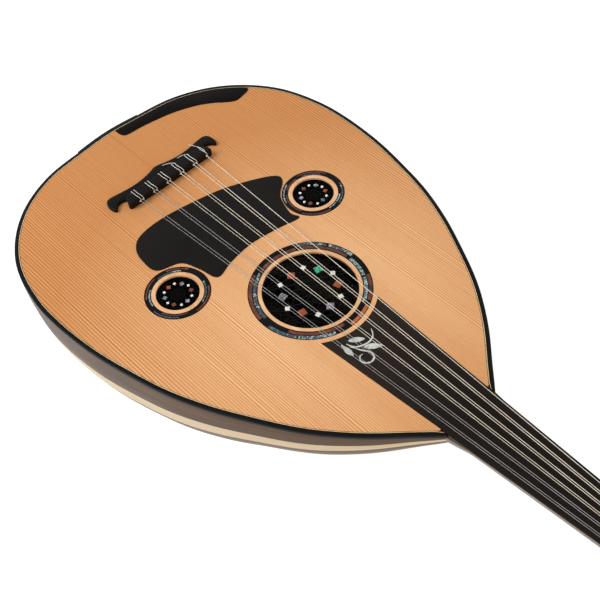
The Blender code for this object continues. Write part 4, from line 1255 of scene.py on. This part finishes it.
def build_pegbox():
    """Open box for the tuning pegs with a hole for each peg in both cheeks."""
    slope = math.tan(PEGBOX_TILT / 2)
    near_depth = pegbox_depth(0.0)
    sin, cos = math.sin(PEGBOX_TILT), math.cos(PEGBOX_TILT)
    end_below = 6 * MM
    foot_top = pegbox_point(PEGBOX_LENGTH, 0.0)
    end_along = (foot_top.z - FLOOR_LEVEL - end_below * cos) / sin + PEGBOX_LENGTH
    heel_below = pegbox_depth(PEGBOX_LENGTH)
    heel_along = end_along - (heel_below - end_below) * cos / sin
    box = side_solid([(0.0, 0.0), (PEGBOX_LENGTH - 6 * MM, 0.0), (PEGBOX_LENGTH, 1.5 * MM),
                      (end_along, end_below), (heel_along, heel_below), (near_depth * slope, near_depth)])
    item = box.make("peg_housing", NECK_WALNUT, "walnut", replaces=("pegbox",))
    inner_end = PEGBOX_LENGTH - 16 * MM
    inner_start = 14 * MM
    clear = 9 * MM
    cut(item, side_solid([(-clear, -clear), (inner_end + 3 * MM, -clear),
                          (inner_end, pegbox_depth(inner_end) - PEGBOX_FLOOR),
                          (inner_start, pegbox_depth(inner_start) - PEGBOX_FLOOR),
                          (0.0, 3 * MM), (-clear, 3 * MM)], PEGBOX_CHEEK))
    reach = 28 * MM
    for peg in range(STRING_COUNT):
        cut(item, Piece().loft([disc(peg_axis(peg), x, shaft_radius(peg, x) + 0.12 * MM, 28)
                                for x in (-reach, reach)]))
    bevel = item.modifiers.new("soft_edges", "BEVEL")
    bevel.width = 0.5 * MM
    bevel.segments = 2
    bevel.limit_method = "ANGLE"
    bevel.angle_limit = math.radians(50)
    bevel.use_clamp_overlap = True
    lines = Piece()
    for side in (-1, 1):
        start, end = 24 * MM, PEGBOX_LENGTH - 4 * MM
        rings = []
        for step in range(13):
            along = start + (end - start) * step / 12
            x = side * (pegbox_half_width(along) - 5.0 * MM)
            below = pegbox_depth(along)
            corners = ((0.08, 0.0), (0.08, 0.9), (-0.6, 0.9), (-0.6, 0.0))
            rings.append([pegbox_point(along, below + a * MM, x + b * MM) for a, b in corners])
        lines.loft(rings)
    lines.make("peg_housing_lines", LIGHT_LINE, "maple")


# The head of a peg past its collar, and its button: distance along the peg and radius, in millimetres. The
# grip starts GRIP_START past the collar and has half a width, in millimetres, at each distance from there.
HEAD_PROFILE = (
    (0.2, 4.9), (0.8, 5.3), (1.6, 5.3), (2.2, 4.7), (2.5, 3.9), (3.2, 3.9), (3.9, 3.4), (6, 3.0), (9, 2.9),
    (12, 1.6),
)
BUTTON_PROFILE = ((-0.4, 1.5), (0.0, 1.7), (0.5, 1.7), (1.0, 1.2), (1.25, 0.5))
GRIP_START = 5.0 * MM
GRIP_WIDTHS = ((0.0, 2.6), (4.0, 6.4), (9.0, 10.0), (15.0, 10.6), (20.0, 8.2), (22.6, 4.6), (23.4, 1.6))


def grip_section(axis, x, half, thick):
    """A flattened round across a peg's grip."""
    ring = []
    for turn in turns_round(24):
        cos, sin = math.cos(turn), math.sin(turn)
        y = math.copysign(abs(cos) ** 0.8, cos) * half
        z = math.copysign(abs(sin) ** 0.7, sin) * thick
        ring.append(axis + Vector((x, y, z)))
    return ring


def build_pegs():
    """Turned ebony pegs with flat grips, bone buttons and the wound ends of their strings."""
    for peg in range(STRING_COUNT):
        side = peg_side(peg)
        body = f"peg_{peg + 1:02d}"
        half_width = pegbox_half_width(peg_along(peg))
        axis = peg_axis(peg)
        tip = half_width + 2.5 * MM
        collar = half_width + 2.0 * MM
        shaft_tip = shaft_radius(peg, -side * tip)
        shaft_collar = shaft_radius(peg, side * collar)
        profile = [
            (-tip, 0.3 * shaft_tip), (-tip, 0.75 * shaft_tip), (-tip + 0.4 * MM, 0.95 * shaft_tip),
            (-tip + 1.0 * MM, shaft_tip), (0.0, 0.5 * (shaft_tip + shaft_collar)), (collar, shaft_collar),
        ]
        profile += [(collar + x * MM, r * MM) for x, r in HEAD_PROFILE]
        head = Piece().loft([disc(axis, side * x, r, 32) for x, r in profile])
        grip_start = collar + GRIP_START
        rings = []
        for offset, half in smooth(GRIP_WIDTHS, 4, closed=False):
            thick = (3.1 - 0.06 * offset) * MM * (1 - max(0.0, (offset - 20) / 3.5) ** 2 * 0.5)
            rings.append(grip_section(axis, side * (grip_start + offset * MM), half * MM, thick))
        head.loft(rings)
        head.make(f"turned_{body}", EBONY, "ebony", body, replaces=(body,), angle=40, centre=axis + ORIGIN)
        reach = grip_start + 23.2 * MM
        button = Piece().loft([disc(axis, side * (reach + x * MM), r * MM, 20) for x, r in BUTTON_PROFILE])
        button.make(f"button_{body}", BONE, "bone", body, angle=60, centre=axis + ORIGIN)
    for string in range(STRING_COUNT):
        _, _, _, peg, lane = route_of(string)
        axis = peg_axis(peg)
        radius = string_radius(string)
        inward = -1 if lane > 0 else 1
        path = []
        for step in range(WINDING_TURNS * WINDING_STEPS + 1):
            share = step / WINDING_STEPS
            x = lane + inward * share * WINDING_PITCH * radius
            reach = shaft_radius(peg, x) + radius
            turn = math.tau * share + LANDING_TURN
            path.append(axis + Vector((x, reach * math.cos(turn), reach * math.sin(turn))))
        coil = Piece().tube(path, radius, 8)
        coil.make(f"wound_end_{string + 1:02d}", *string_looks(string), f"peg_{peg + 1:02d}",
                  angle=60, centre=axis + ORIGIN)


# ---------------------------------------------------------------- everything
build_ribs()
edge_strip("edge_binding", BLACK_EDGE, "ebony", 0.0, BINDING_WIDTH, -BINDING_HEIGHT, ("binding",), 0.9 * MM)
edge_strip("edge_line_light", LIGHT_LINE, "maple", BINDING_WIDTH + SHIM, LIGHT_LINE_END, -PURFLING_DEPTH)
edge_strip("edge_line_dark", DARK_LINE, "ebony", LIGHT_LINE_END + SHIM, DARK_LINE_END, -PURFLING_DEPTH)
build_end_clasp()
build_soundboard()
build_rings()
build_rosettes()
build_plates()
build_bridge()
build_strings()
build_fingerboard()
build_neck()
build_nut()
build_pegbox()
build_pegs()

for name in ("neck_block", "tail_block", "brace_1", "brace_2", "brace_3"):
    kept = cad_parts[name]
    kept.data.materials.clear()
    kept.data.materials.append(INNER_SPRUCE)

# ---------------------------------------------------------------- stage, light and camera
WHITE = (1.0, 1.0, 1.0, 1.0)
floor_mesh = bpy.data.meshes.new("floor")
FLOOR_REACH = 30.0
corners = [(x * FLOOR_REACH, y * FLOOR_REACH, 0) for x, y in ((-1, -1), (1, -1), (1, 1), (-1, 1))]
floor_mesh.from_pydata(corners, [], [(0, 1, 2, 3)])
paper = Finish("paper", Roughness=0.9, Specular_IOR_Level=0.1, Emission_Color=WHITE, Emission_Strength=0.76)
grain = paper.stretched(paper.place(), (40, 40, 40), 3)
paper.set("Base Color", paper.ramp(grain, ((0.3, (0.50, 0.50, 0.50, 1)), (0.7, (0.53, 0.53, 0.53, 1)))))
floor_mesh.materials.append(paper.material)
floor = bpy.data.objects.new("floor", floor_mesh)
bpy.context.scene.collection.objects.link(floor)
floor.location.z = -0.5 * MM

world = bpy.data.worlds.new("studio")
world.use_nodes = True
nodes, links = world.node_tree.nodes, world.node_tree.links
height = nodes.new("ShaderNodeSeparateXYZ")
links.new(nodes.new("ShaderNodeTexCoord").outputs["Generated"], height.inputs[0])
glow = nodes.new("ShaderNodeMapRange")
links.new(height.outputs["Z"], glow.inputs["Value"])
for key, value in (("From Min", 0.0), ("From Max", 0.8), ("To Min", 1.05), ("To Max", 0.42)):
    glow.inputs[key].default_value = value
links.new(glow.outputs[0], nodes["Background"].inputs["Strength"])
nodes["Background"].inputs["Color"].default_value = WHITE
bpy.context.scene.world = world


def softbox(name, place, size, power):
    """A round area light aimed at the middle of the body."""
    light = bpy.data.lights.new(name, "AREA")
    light.shape = "DISK"
    light.size = size
    light.energy = power
    lamp = bpy.data.objects.new(name, light)
    lamp.location = place
    lamp.rotation_euler = (Vector((0, 0, 0.1)) - Vector(place)).to_track_quat("-Z", "Y").to_euler()
    bpy.context.scene.collection.objects.link(lamp)


softbox("key", (-1.5, 1.3, 2.0), 1.6, 46)
softbox("fill", (-1.2, -1.6, 1.8), 1.4, 9)

# The place, aim and focal length that were solved from the photo.
camera = bpy.data.cameras.new("camera")
camera.lens = 61.79
camera.sensor_width = 36.0
camera.clip_start = 0.01
view = bpy.data.objects.new("camera", camera)
view.location = ORIGIN + Vector((-0.37921, -0.45563, 0.72600))
view.rotation_euler = Euler([math.radians(angle) for angle in (38.52, 3.85, -43.59)])
bpy.context.scene.collection.objects.link(view)
bpy.context.scene.camera = view
bpy.context.scene.view_settings.view_transform = "Standard"
